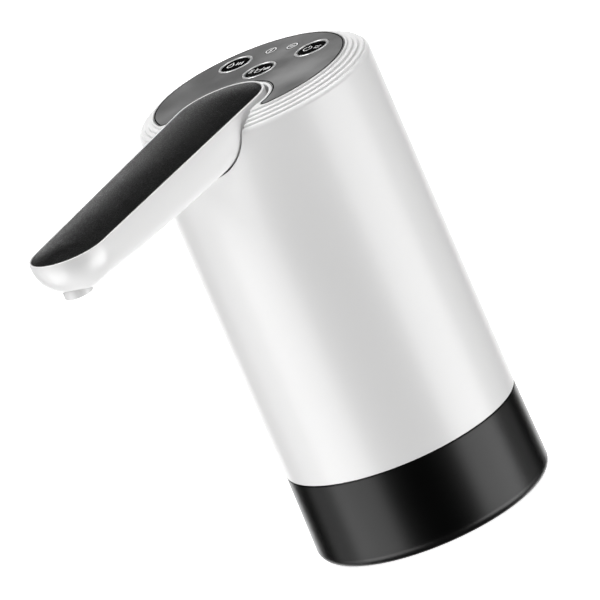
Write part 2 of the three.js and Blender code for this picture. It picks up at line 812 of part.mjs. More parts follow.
function baseRing() {
  const bottom = bodyRadius + baseFlare;
  const grooveLow = baseHeight + (collarHeight - grooveHeight) / 2;
  const ring = revolved(
    [
      [socketRadius, 0],
      ...arc(bottom - baseFillet, baseFillet, baseFillet, -quarterTurn, 0, filletSteps),
      [bodyRadius, baseHeight],
      [collarRadius, baseHeight],
      [collarRadius, grooveLow],
      [collarRadius - grooveDepth, grooveLow],
      [collarRadius - grooveDepth, grooveLow + grooveHeight],
      [collarRadius, grooveLow + grooveHeight],
      [collarRadius, collarTop],
      [collarRadius - collarWall, collarTop],
      [collarRadius - collarWall, baseDeckTop],
      [elbowRadius + fitGap, baseDeckTop],
      [elbowRadius + fitGap, socketDepth],
      [socketRadius, socketDepth],
    ],
    largeSides,
  );
  const holes = pillarPlaces.map(([x, y]) =>
    cylinder(screwRadius + screwGap, socketDepth - overrun, baseDeckTop + overrun, tinySides, x, y));
  const sinkTop = socketDepth + screwHeadHeight + screwGap;
  const sinks = pillarPlaces.map(([x, y]) =>
    cylinder(screwHead + screwGap, socketDepth - overrun, sinkTop, smallSides, x, y));
  return cut(ring, ...holes, ...sinks);
}

function neckSeal() {
  const outer = socketRadius - hairGap;
  const inner = outer - sealWall;
  const high = socketDepth - fitGap;
  const spacing = (high - sealLow) / lipCount;
  const lips = Array.from({ length: lipCount }, (_, i) => {
    const level = high - spacing / 2 - i * spacing;
    return [
      [inner, level + lipRootHeight / 2],
      [inner - lipReach, level + lipTipHeight / 2],
      [inner - lipReach, level - lipTipHeight / 2],
      [inner, level - lipRootHeight / 2],
    ];
  }).flat();
  const section = [[outer, sealLow], [outer, high], [inner, high], ...lips, [inner, sealLow]];
  return revolved(section, hiddenSides);
}

function baseGasket() {
  const level = baseHeight + collarHeight / 2;
  const ring = arc(collarRadius - gasketRadius, level, gasketRadius, 0, 2 * halfTurn, gasketSides);
  return revolved(ring.slice(1), hiddenSides);
}

// The elbow that takes water from the suction hose below to the pump's hose above the deck.
function inletElbow() {
  const top = baseDeckTop + fitGap + elbowHeight;
  const flangeLow = baseDeckTop + fitGap;
  const low = socketDepth - barbLength;
  const pitch = barbLength / (barbCount + 1);
  const barbs = Array.from({ length: barbCount }, (_, i) => [
    [barbRoot, low + i * pitch],
    [barbRidge, low + i * pitch + pitch / 2],
    [barbRidge, low + i * pitch + pitch * barbLandShare],
  ]).flat();
  const body = revolved(
    [
      [0, low],
      ...barbs,
      [barbRoot, socketDepth - pitch],
      [barbRoot, socketDepth - fitGap],
      [elbowRadius, socketDepth - fitGap],
      [elbowRadius, flangeLow],
      [elbowFlange, flangeLow],
      [elbowFlange, flangeLow + elbowFlangeHeight],
      [elbowRadius, flangeLow + elbowFlangeHeight],
      [elbowRadius, top],
      [0, top],
    ],
    smallSides,
  );
  const [ridgeFrom, ridgeTo] = [spigotRoot / 2 - elbowReach, spigotRoot - elbowReach];
  const arm = join(
    deepCylinder(spigotRoot, -elbowReach, 0, smallSides, 0, elbowLevel),
    deepCylinder(spigotRidge, ridgeFrom, ridgeTo, smallSides, 0, elbowLevel),
  );
  return cut(
    join(body, arm),
    cylinder(barbBore, low - overrun, elbowLevel, smallSides),
    deepCylinder(spigotBore, -elbowReach - overrun, 0, smallSides, 0, elbowLevel),
  );
}

const pillarPlaces = Array.from({ length: pillarCount }, (_, i) => {
  const angle = quarterTurn + (2 * halfTurn * i) / pillarCount;
  return [screwCircle * Math.cos(angle), screwCircle * Math.sin(angle)];
});
const postPlaces = [
  [postX, driveY - postSpread],
  [postX, driveY + postSpread],
];

// The frame inside: a plate on the base's collar with pillars below, cups and clamp posts above.
function chassis() {
  const plate = cylinder(innerRadius - chassisAir, chassisUnder, chassisTop, hiddenSides);
  const cupTop = chassisTop + cupHeight;
  const cup = (radius, x) =>
    cylinder(radius + fitGap + cupWall, chassisUnder, cupTop, mediumSides, x, driveY);
  const well = (radius, x) =>
    cylinder(radius + fitGap, chassisTop, cupTop + overrun, mediumSides, x, driveY);
  const posts = postPlaces.map(([x, y]) =>
    cylinder(postRadius, chassisUnder, clampLevel - fitGap, smallSides, x, y));
  const pillars = pillarPlaces.map(([x, y]) =>
    cylinder(pillarRadius, baseDeckTop + fitGap, chassisTop, smallSides, x, y));
  const pillarHoles = pillarPlaces.map(([x, y]) =>
    cylinder(screwRadius + screwGap, baseDeckTop, chassisUnder, tinySides, x, y));
  const postHoles = postPlaces.map(([x, y]) =>
    cylinder(screwRadius + screwGap, clampLevel - clampScrewLength, clampLevel, tinySides, x, y));
  const hoseHole = [
    cylinder(hoseHoleRadius, chassisUnder - overrun, chassisTop + overrun, smallSides, 0, -hoseHoleNear),
    cylinder(hoseHoleRadius, chassisUnder - overrun, chassisTop + overrun, smallSides, 0, -hoseHoleFar),
    box(2 * hoseHoleRadius, hoseHoleFar - hoseHoleNear, chassisThickness + 2 * overrun, 0,
      -(hoseHoleNear + hoseHoleFar) / 2, (chassisUnder + chassisTop) / 2),
  ];
  return cut(
    join(plate, cup(motorRadius, pumpX), cup(cellRadius, cellX), ...posts, ...pillars),
    well(motorRadius, pumpX),
    well(cellRadius, cellX),
    ...pillarHoles,
    ...postHoles,
    ...hoseHole,
  );
}

// The plate that clamps the motor and the cell to the posts.
function clampPlate() {
  const [low, high] = [clampLevel, clampLevel + clampHeight];
  const band = (radius, x) =>
    cylinder(radius + fitGap + clampWall, low, high, mediumSides, x, driveY);
  const hole = (radius, x) =>
    cylinder(radius + fitGap, low - overrun, high + overrun, mediumSides, x, driveY);
  const ears = postPlaces.map(([x, y]) => cylinder(postRadius, low, high, smallSides, x, y));
  const bridge = box(2 * postRadius, 2 * postSpread, clampHeight, postX, driveY, (low + high) / 2);
  const screwHoles = postPlaces.map(([x, y]) =>
    cylinder(screwRadius + screwGap, low - overrun, high + overrun, tinySides, x, y));
  return cut(
    join(band(motorRadius, pumpX), band(cellRadius, cellX), bridge, ...ears),
    hole(motorRadius, pumpX),
    hole(cellRadius, cellX),
    ...screwHoles,
  );
}

function motor() {
  return revolved(
    [
      [0, 0],
      [motorRadius - motorBevel, 0],
      [motorRadius, motorBevel],
      [motorRadius, motorLength - motorBevel],
      [motorRadius - motorBevel, motorLength],
      [motorBoss, motorLength],
      [motorBoss, motorLength + motorBossHeight],
      [shaftRadius + shaftGap, motorLength + motorBossHeight],
      [shaftRadius + shaftGap, motorLength - shaftDepth],
      [0, motorLength - shaftDepth],
    ],
    mediumSides,
  );
}

// The pump's lower housing, round the crank wheel on the motor's shaft.
function pumpFrame() {
  return revolved(
    [
      [motorBoss + fitGap, 0],
      [frameRadius, 0],
      [frameRadius, frameHeight],
      [frameRadius - frameWall, frameHeight],
      [frameRadius - frameWall, frameFloor],
      [motorBoss + fitGap, frameFloor],
    ],
    mediumSides,
  );
}

// Shaft, wheel and crank pin, with z = 0 at the underside of the pump's lower housing.
function crankWheel() {
  const low = frameFloor + wheelLift;
  const shaft = cylinder(shaftRadius, shaftGap - shaftDepth, low + wheelHeight / 2, tinySides);
  const wheel = cylinder(wheelRadius, low, low + wheelHeight, mediumSides);
  const crank = cylinder(shaftRadius, low, low + wheelHeight + crankLength, tinySides, crankOffset, 0);
  return join(shaft, wheel, crank);
}

function diaphragm() {
  const sheet = cylinder(frameRadius, 0, diaphragmHeight, mediumSides);
  const chambers = Array.from({ length: chamberCount }, (_, i) => {
    const angle = (2 * halfTurn * i) / chamberCount;
    const [x, y] = [chamberCircle * Math.cos(angle), chamberCircle * Math.sin(angle)];
    return cylinder(chamberRadius, -chamberDepth, diaphragmHeight / 2, smallSides, x, y);
  });
  return join(sheet, ...chambers);
}

// The valve head with a ridged spigot on each port.
function pumpHead() {
  const block = revolved(
    [
      [0, 0],
      [frameRadius, 0],
      [frameRadius, headHeight - headBevel],
      [frameRadius - headBevel, headHeight],
      [0, headHeight],
    ],
    mediumSides,
  );
  const ports = [-portSpread, portSpread].map((x) => spigot().translate(x, 0, headHeight));
  const bores = [-portSpread, portSpread].map((x) =>
    cylinder(spigotBore, headHeight / 2, headHeight + spigotLength + overrun, tinySides, x, 0));
  return cut(join(block, ...ports), ...bores);
}

function spigot() {
  const ridge = spigotRidge - spigotRoot;
  return revolved(
    [
      [0, -spigotRoot],
      [spigotRoot, -spigotRoot],
      [spigotRoot, spigotLength - spigotRidge],
      [spigotRidge, spigotLength - spigotRidge],
      [spigotRoot, spigotLength - ridge],
      [spigotRoot, spigotLength],
      [0, spigotLength],
    ],
    tinySides,
  );
}

function cell() {
  return revolved(
    [
      [0, 0],
      [cellRadius - cellBevel, 0],
      [cellRadius, cellBevel],
      [cellRadius, cellLength - cellBevel],
      [cellRadius - cellBevel, cellLength],
      [cellCap, cellLength],
      [cellCap, cellLength + cellCapHeight],
      [0, cellLength + cellCapHeight],
    ],
    mediumSides,
  );
}

// Routes of the hoses and leads between their fixed ends
const bowlLow = pivotHeight - seatRadius - seatWall;
const portTop = headTop + spigotLength;
const [inletX, outletX] = [pumpX - portSpread, pumpX + portSpread];
const suctionRoute = [
  [0, -elbowRadius - fitGap, elbowLevel],
  [0, -elbowReach - hoseRadius, elbowLevel],
  [0, -hoseHoleNear - hoseRadius, chassisUnder],
  [0, -hoseHoleFar, chassisTop + cupHeight],
  [0, -hoseHoleFar, frameLevel],
  [0, -hoseHoleFar, headLevel],
  [0, -hoseHoleNear - hoseRadius, suctionBend],
  [suctionAside, -hoseHoleNear / 2, suctionCrest],
  [inletX, 0, suctionCrest],
  [inletX, driveY, portTop + hoseEndRun],
  [inletX, driveY, portTop],
  [inletX, driveY, headTop + fitGap],
];
const riserRoute = [
  [outletX, driveY, headTop + fitGap],
  [outletX, driveY, portTop],
  [outletX, driveY, portTop + hoseEndRun],
  [riserAside, 0, riserCrest - hoseEndRun],
  [riserTurn, riserTurn - rootOffset, riserCrest],
  [0, -rootOffset, riserEndLevel],
  [0, -rootOffset, bowlLow],
  [0, -rootOffset, pivotHeight - ballRadius - fitGap],
];
const motorLeadRoute = [
  [pumpX, driveY + motorRadius + leadRadius + fitGap, chassisTop + cupHeight + leadRadius],
  [pumpX, driveY + frameRadius + leadStandoff, clampLevel],
  [pumpX, driveY + frameRadius + leadStandoff, headTop],
  [motorLeadX, driveY + frameRadius, leadBend],
  [motorLeadX, driveY + frameRadius, boardUnder - fitGap],
];
const cellTop = standLevel + cellLength + cellCapHeight;
const cellLeadRoute = [
  [cellX, driveY, cellTop + fitGap],
  [cellX, driveY, cellTop + cellLeadRun],
  [cellX, cellLeadY, leadBend],
  [cellX, cellLeadY, boardUnder - fitGap],
];
const suctionSteps = 18;
const riserSteps = 12;
const leadSteps = 8;

// Screws that hold the base, the clamp plate and the board.
function addScrews(group) {
  const baseScrew = screw(screwHead, screwHeadHeight, screwRadius, baseScrewLength);
  pillarPlaces.forEach(([x, y], i) => {
    const mesh = piece(`base_screw_${i + 1}`, baseScrew, steel, x, y, socketDepth + screwHeadHeight);
    mesh.rotation.x = halfTurn;
    group.add(mesh);
  });
  const clampScrew = screw(screwHead, screwHeadHeight, screwRadius, clampScrewLength);
  postPlaces.forEach(([x, y], i) => {
    group.add(piece(`clamp_screw_${i + 1}`, clampScrew, steel, x, y, clampLevel + clampHeight + fitGap));
  });
  const boardScrew = screw(boardScrewHead, boardScrewHeadHeight, boardScrewRadius, boardScrewLength);
  boardPosts.forEach(([x, y], i) => {
    const mesh = piece(`board_screw_${i + 1}`, boardScrew, steel, x, y, boardUnder - fitGap);
    mesh.rotation.x = halfTurn;
    group.add(mesh);
  });
}

function addControls(group) {
  group.add(piece("control_panel", controlPanel(), panelGloss));
  for (const [side, x, y] of buttonPlaces) {
    group.add(piece(`button_ring_${side}`, buttonRing(), brightRing, x, y));
    group.add(piece(`button_${side}`, button(), buttonGloss, x, y));
    group.add(piece(`switch_${side}`, tactSwitch(), greyPlastic, x, y, boardTop));
  }
  for (const [side, x, y] of lensPlaces) {
    const led = box(ledLength, ledWidth, ledHeight, 0, 0, ledHeight / 2);
    group.add(piece(`indicator_${side}`, lens(), smokedLens, x, y));
    group.add(piece(`led_${side}`, led, silicone, x, y, boardTop));
  }
  group.add(piece("circuit_board", circuitBoard(), boardGreen));
  group.add(piece("charge_socket", chargeSocket(), steel, 0, portMouth, portLevel));
}

function addDrive(group) {
  group.add(piece("chassis", chassis(), greyPlastic));
  group.add(piece("clamp_plate", clampPlate(), greyPlastic));
  group.add(piece("motor", motor(), steel, pumpX, driveY, standLevel));
  group.add(piece("pump_frame", pumpFrame(), blackPlastic, pumpX, driveY, frameLevel));
  group.add(piece("crank_wheel", crankWheel(), greyPlastic, pumpX, driveY, frameLevel));
  group.add(piece("diaphragm", diaphragm(), rubber, pumpX, driveY, diaphragmLevel));
  group.add(piece("pump_head", pumpHead(), blackPlastic, pumpX, driveY, headLevel));
  group.add(piece("battery_cell", cell(), cellWrap, cellX, driveY, standLevel));
  const hose = (route, steps) => alongCurve(route, hoseRadius, hoseSides, steps, hoseBore);
  group.add(piece("suction_hose", hose(suctionRoute, suctionSteps), silicone));
  group.add(piece("riser_hose", hose(riserRoute, riserSteps), silicone));
  group.add(piece("motor_lead", alongCurve(motorLeadRoute, leadRadius, leadSides, leadSteps), leadRed));
  group.add(piece("cell_lead", alongCurve(cellLeadRoute, leadRadius, leadSides, leadSteps), leadRed));
}

function addBase(group) {
  group.add(piece("base_ring", baseRing(), blackPlastic));
  group.add(piece("neck_seal", neckSeal(), silicone));
  group.add(piece("base_gasket", baseGasket(), rubber));
  group.add(piece("inlet_elbow", inletElbow(), greyPlastic));
}

function foldingArm() {
  const arm = new THREE.Group();
  arm.position.set(0, -rootOffset, pivotHeight);
  arm.add(piece("arm_shell", armShell(), whitePlastic));
  arm.add(piece("arm_inlay", armInlay(), blackLeather));
  arm.add(piece("nozzle", nozzle(), whitePlastic, 0, -armSpan - nozzleOffset));
  arm.add(piece("arm_hose", armHose(), silicone));
  return arm;
}

function pinPair() {
  const pins = new THREE.Group();
  pins.position.set(0, -rootOffset, pivotHeight);
  const right = piece("hinge_pin_right", hingePin(), steel);
  const left = piece("hinge_pin_left", hingePin(), steel);
  left.rotation.z = halfTurn;
  pins.add(right, left);
  return pins;
}

const pump = new THREE.Group();
const housing = new THREE.Group();
addBase(housing);
addDrive(housing);
addControls(housing);
addScrews(housing);
housing.add(piece("body_shell", bodyShell(), whitePlastic), pinPair());
pump.add(housing, foldingArm());

export default pump;
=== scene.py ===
"""Looks of a bottled water pump with a folding arm: fine meshes, finishes, studio and camera.

Sizes are in millimetres until a mesh is made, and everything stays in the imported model's frame: the body's
axis is z, the floor is z = 0, the arm points to -y and folds about a pivot near the top of the body.
"""

import logging
import math
from dataclasses import dataclass
from enum import Enum
from typing import Any, Callable, Iterable, Sequence, Union

import bmesh
import bpy
from mathutils import Matrix, Vector


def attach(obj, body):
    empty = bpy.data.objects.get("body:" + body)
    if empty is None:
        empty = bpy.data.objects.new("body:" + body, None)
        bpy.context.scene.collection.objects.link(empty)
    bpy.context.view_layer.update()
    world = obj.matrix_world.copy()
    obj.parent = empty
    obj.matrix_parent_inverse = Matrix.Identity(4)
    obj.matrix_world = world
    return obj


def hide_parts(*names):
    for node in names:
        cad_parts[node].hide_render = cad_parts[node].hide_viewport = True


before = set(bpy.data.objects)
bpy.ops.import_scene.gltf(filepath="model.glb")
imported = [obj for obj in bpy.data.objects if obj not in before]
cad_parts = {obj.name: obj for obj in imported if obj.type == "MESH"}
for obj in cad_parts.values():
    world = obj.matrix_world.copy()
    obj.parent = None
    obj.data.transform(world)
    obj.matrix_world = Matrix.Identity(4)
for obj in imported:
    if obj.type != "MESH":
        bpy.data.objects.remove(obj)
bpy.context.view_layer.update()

VIEW_AZIMUTH = 36.138  # degrees from the front, -y, round to the camera
MM = 0.001  # metres in a millimetre
FULL_TURN = 2 * math.pi
HALF_TURN = math.pi
QUARTER_TURN = math.pi / 2
WELD = 0.0002  # distance under which two points are one
THROUGH = 2  # how far a cutter reaches past what it cuts
ROUND_LIMIT = 0.48  # share of a side that the round at one of its ends may take
NEAR_STRAIGHT = QUARTER_TURN * 0.995  # half the angle of a corner that is too flat to round
SHARP_ANGLE = math.radians(32)  # edges that turn more than this stay sharp

Piece = bpy.types.Object
Point = tuple[float, float]
Span = tuple[float, float]  # both ends of a range
Corner = tuple[float, float, float]  # a point and the radius of its round
Place = tuple[float, float, float]
Colour = tuple[float, float, float, float]
Stroke = tuple[Sequence[Point], bool, float]  # points of a printed line, whether it closes, and its width

log = logging.getLogger("water_pump")


# Plane geometry


def arc(x: float, y: float, radius: float, start: float, end: float, count: int,
        flatten: float = 1) -> list[Point]:
    """Points of an arc about a centre, both ends included.

    Args:
        x: Centre across.
        y: Centre up.
        radius: Radius of the arc.
        start: First angle in radians.
        end: Last angle in radians.
        count: Number of steps.
        flatten: Height of the arc as a share of its width.

    Returns:
        The points in order.
    """
    angles = [start + (end - start) * i / count for i in range(count + 1)]
    return [(x + radius * math.cos(a), y + radius * flatten * math.sin(a)) for a in angles]


def lip(edge: float, level: float, count: int) -> list[Point]:
    """Insets and heights along a rounded upper edge, from its foot to its crest at a level."""
    return [(edge - x, level - edge + z) for x, z in arc(0, 0, edge, 0, QUARTER_TURN, count)]


def rounded(corners: Sequence[Corner], steps: int = 5) -> list[Point]:
    """Rounds the corners of a closed outline.

    Args:
        corners: Corner points, each with the radius of its round; 0 keeps it sharp.
        steps: Number of steps in each round.

    Returns:
        The outline with its rounds.
    """
    outline: list[Point] = []
    for i, (x, y, radius) in enumerate(corners):
        corner = Vector((x, y))
        before = Vector(corners[i - 1][:2]) - corner
        after = Vector(corners[(i + 1) % len(corners)][:2]) - corner
        shorter = min(before.length, after.length)
        half = before.angle(after) / 2 if radius > 0 and shorter > WELD else HALF_TURN
        if half > NEAR_STRAIGHT:
            outline.append((x, y))
            continue
        reach = min(radius / math.tan(half), ROUND_LIMIT * shorter)
        before.normalize()
        after.normalize()
        centre = corner + (before + after).normalized() * (reach * math.tan(half) / math.sin(half))
        start = corner + before * reach - centre
        turn = start.angle_signed(corner + after * reach - centre)
        for step in range(steps + 1):
            spoke = Matrix.Rotation(-turn * step / steps, 2) @ start
            outline.append((centre.x + spoke.x, centre.y + spoke.y))
    return outline


def smooth_route(stops: Sequence[Place], steps: int) -> list[Vector]:
    """A smooth curve through stops, drawn without loops where stops lie close together.

    Args:
        stops: Points that the curve passes through.
        steps: Steps between two stops.

    Returns:
        The points of the curve.
    """

    def between(first: Vector, second: Vector, start: float, end: float, time: float) -> Vector:
        """A point on the line through two points, which it passes at their times."""
        return first * ((end - time) / (end - start)) + second * ((time - start) / (end - start))

    points = [Vector(stop) for stop in stops]
    points = [points[0] * 2 - points[1], *points, points[-1] * 2 - points[-2]]
    route: list[Vector] = []
    for i in range(len(points) - 3):
        near = points[i:i + 4]
        times = [0.0]
        for first, second in zip(near, near[1:]):
            times.append(times[-1] + (second - first).length ** 0.5)
        for step in range(steps):
            time = times[1] + (times[2] - times[1]) * step / steps
            row = [between(near[k], near[k + 1], times[k], times[k + 1], time) for k in range(3)]
            low, high = (between(row[k], row[k + 1], times[k], times[k + 2], time) for k in range(2))
            route.append(between(low, high, times[1], times[2], time))
    return [*route, Vector(stops[-1])]


# Meshes


def new_piece(name: str, points: Iterable[Sequence[float]], faces: Sequence[Sequence[int]]) -> Piece:
    """Makes a closed mesh object.

    Args:
        name: Name of the piece.
        points: Points in millimetres.
        faces: Corner numbers of each face.

    Returns:
        The object, linked to the scene.
    """
    mesh = bpy.data.meshes.new(name)
    mesh.from_pydata([tuple(c * MM for c in point) for point in points], [], faces)
    work = bmesh.new()
    work.from_mesh(mesh)
    bmesh.ops.remove_doubles(work, verts=work.verts, dist=WELD * MM)
    bmesh.ops.dissolve_degenerate(work, edges=work.edges, dist=WELD * MM)
    bmesh.ops.recalc_face_normals(work, faces=work.faces)
    work.to_mesh(mesh)
    work.free()
    piece = bpy.data.objects.new(name, mesh)
    bpy.context.scene.collection.objects.link(piece)
    return piece


def ring_faces(count: int, total: int, looped: bool, first: int = 0) -> list[list[int]]:
    """Faces between rings whose points are numbered ring by ring.

    Args:
        count: Number of points in a ring.
        total: Number of rings.
        looped: Whether the last ring joins the first; otherwise both ends get a flat face.
        first: Number of the first point.

    Returns:
        Corner numbers of each face.
    """
    faces: list[list[int]] = []
    for ring in range(total if looped else total - 1):
        low, high = first + ring * count, first + (ring + 1) % total * count
        for i in range(count):
            j = (i + 1) % count
            faces.append([low + i, low + j, high + j, high + i])
    if not looped:
        faces.append([first + i for i in reversed(range(count))])
        faces.append([first + (total - 1) * count + i for i in range(count)])
    return faces


def skinned(name: str, rings: Sequence[Sequence[Sequence[float]]], looped: bool = False) -> Piece:
    """Skins rings of equally many points.

    Args:
        name: Name of the piece.
        rings: The rings in order.
        looped: Whether the last ring joins the first; otherwise both ends get a flat face.

    Returns:
        The piece.
    """
    points = [tuple(point) for ring in rings for point in ring]
    faces = ring_faces(len(rings[0]), len(rings), looped)
    return new_piece(name, points, [face for face in faces if len({points[k] for k in face}) > 2])


def lathed(name: str, profile: Sequence[Point], sides: int, place: Place = (0, 0, 0)) -> Piece:
    """Revolves a closed profile about an upright axis.

    Args:
        name: Name of the piece.
        profile: Points of radius and height; points on the axis close the shape.
        sides: Number of sides.
        place: Where the axis stands and the heights begin.

    Returns:
        The piece.
    """
    x, y, z = place
    angles = [FULL_TURN * i / sides for i in range(sides)]
    rings = [[(x + r * math.cos(a), y + r * math.sin(a), z + h) for r, h in profile] for a in angles]
    return skinned(name, rings, looped=True)


def bores(places: Iterable[Point], radius: float, low: float, level: float, flare: float,
          sides: int) -> list[Piece]:
    """Cutters for equal round holes whose upper edges are rounded.

    Args:
        places: Middles of the holes.
        radius: Radius of the holes.
        low: Lower end.
        level: Height of the surface that the holes open in.
        flare: Radius of the rounded edge.
        sides: Number of sides.

    Returns:
        The cutters.
    """
    edge = [(radius + inset, z) for inset, z in lip(flare, level, 4)]
    high = level + THROUGH
    profile = [(0, low), (radius, low), *edge, (radius + flare, high), (0, high)]
    return [lathed("cutter", profile, sides, (x, y, 0)) for x, y in places]


def piped(route: Sequence[Sequence[float]], radius: float, sides: int, bore: float = 0,
          name: str = "cutter") -> Piece:
    """A round bar or hose along a route.

    Args:
        route: Points of its middle line.
        radius: Outer radius.
        sides: Number of sides.
        bore: Inner radius; 0 makes it solid.
        name: Name of the piece.

    Returns:
        The piece.
    """
    line = [Vector(point) for point in route]
    along_x = abs((line[1] - line[0]).normalized().x) > 0.9
    across = Vector((0, 1, 0)) if along_x else Vector((1, 0, 0))
    outer: list[list[Vector]] = []
    inner: list[list[Vector]] = []
    for i, point in enumerate(line):
        ahead = (line[min(i + 1, len(line) - 1)] - line[max(i - 1, 0)]).normalized()
        across = (across - ahead * across.dot(ahead)).normalized()
        aside = ahead.cross(across)
        spokes = [across * x + aside * y for x, y in arc(0, 0, 1, 0, FULL_TURN, sides)[:-1]]
        outer.append([point + spoke * radius for spoke in spokes])
        inner.append([point + spoke * bore for spoke in spokes])
    if bore > 0:
        return skinned(name, [*outer, *inner[::-1]], looped=True)
    return skinned(name, outer)


def block(low: Place, high: Place) -> Piece:
    """A cutter in the shape of a box between its lowest and its highest corner."""
    outline = [(low[0], low[1]), (high[0], low[1]), (high[0], high[1]), (low[0], high[1])]
    return skinned("cutter", [[(x, y, z) for x, y in outline] for z in (low[2], high[2])])


def lying_slot(width: float, height: float, start: float, end: float, level: float,
               name: str = "cutter") -> Piece:
    """A bar with round sides that lies along y.

    Args:
        width: Width over the round sides.
        height: Height.
        start: First y.
        end: Last y.
        level: Height of its middle.
        name: Name of the piece.

    Returns:
        The piece.
    """
    half, radius = (width - height) / 2, height / 2
    outline = arc(half, 0, radius, -QUARTER_TURN, QUARTER_TURN, 16)
    outline += arc(-half, 0, radius, QUARTER_TURN, 3 * QUARTER_TURN, 16)
    return skinned(name, [[(x, y, level + z) for x, z in outline] for y in (start, end)])


class Way(Enum):
    """How a second mesh changes a first one."""

    CUT = "DIFFERENCE"
    JOIN = "UNION"
    KEEP = "INTERSECT"


def settle(piece: Piece) -> Piece:
    """Applies all modifiers of a piece to its mesh.

    Args:
        piece: The piece.

    Returns:
        The same piece.
    """
    shown = piece.evaluated_get(bpy.context.evaluated_depsgraph_get())
    mesh = bpy.data.meshes.new_from_object(shown)
    old = piece.data
    piece.modifiers.clear()
    piece.data = mesh
    bpy.data.meshes.remove(old)
    return piece


def combine(piece: Piece, others: Sequence[Piece], way: Way) -> Piece:
    """Cuts other meshes from a piece, joins them to it or keeps what they share with it.

    Args:
        piece: The piece that is changed.
        others: The other meshes, which are used up.
        way: What is done with them.

    Returns:
        The same piece.
    """
    for other in others:
        step = piece.modifiers.new("step", "BOOLEAN")
        step.operation = way.value
        step.solver = "EXACT"
        step.object = other
    settle(piece)
    for other in others:
        bpy.data.meshes.remove(other.data)
    return piece


def smoothed(piece: Piece) -> Piece:
    """Shades a piece smooth, with sharp edges kept and flat faces flat.

    Args:
        piece: The piece.

    Returns:
        The same piece.
    """
    piece.data.shade_smooth()
    piece.data.set_sharp_from_angle(angle=SHARP_ANGLE)
    weigh = piece.modifiers.new("flat faces stay flat", "WEIGHTED_NORMAL")
    weigh.mode = "FACE_AREA"
    weigh.keep_sharp = True
    return settle(piece)


# Shader graphs

Value = Union["Signal", float]


def _operator(operation: str, reflected: bool = False) -> Callable[["Signal", Value], "Signal"]:
    """Makes the method behind one operator.

    Args:
        operation: Operation of its Math node.
        reflected: Whether the other value comes first.

    Returns:
        The method.
    """

    def method(signal: "Signal", other: Value) -> "Signal":
        """Adds the Math node."""
        values = (other, signal) if reflected else (signal, other)
        return signal.graph.node("ShaderNodeMath", {"operation": operation}, dict(enumerate(values)))

    return method


class Signal:
    """A value in a shader graph; its operators add the Math nodes that they stand for."""

    __add__, __radd__ = _operator("ADD"), _operator("ADD", True)
    __sub__, __rsub__ = _operator("SUBTRACT"), _operator("SUBTRACT", True)
    __mul__, __rmul__ = _operator("MULTIPLY"), _operator("MULTIPLY", True)
    __pow__, __rpow__ = _operator("POWER"), _operator("POWER", True)
    at_most = _operator("MINIMUM")

    def __init__(self, graph: "Graph", socket: bpy.types.NodeSocket) -> None:
        """Keeps the graph and the socket."""
        self.graph = graph
        self.socket = socket


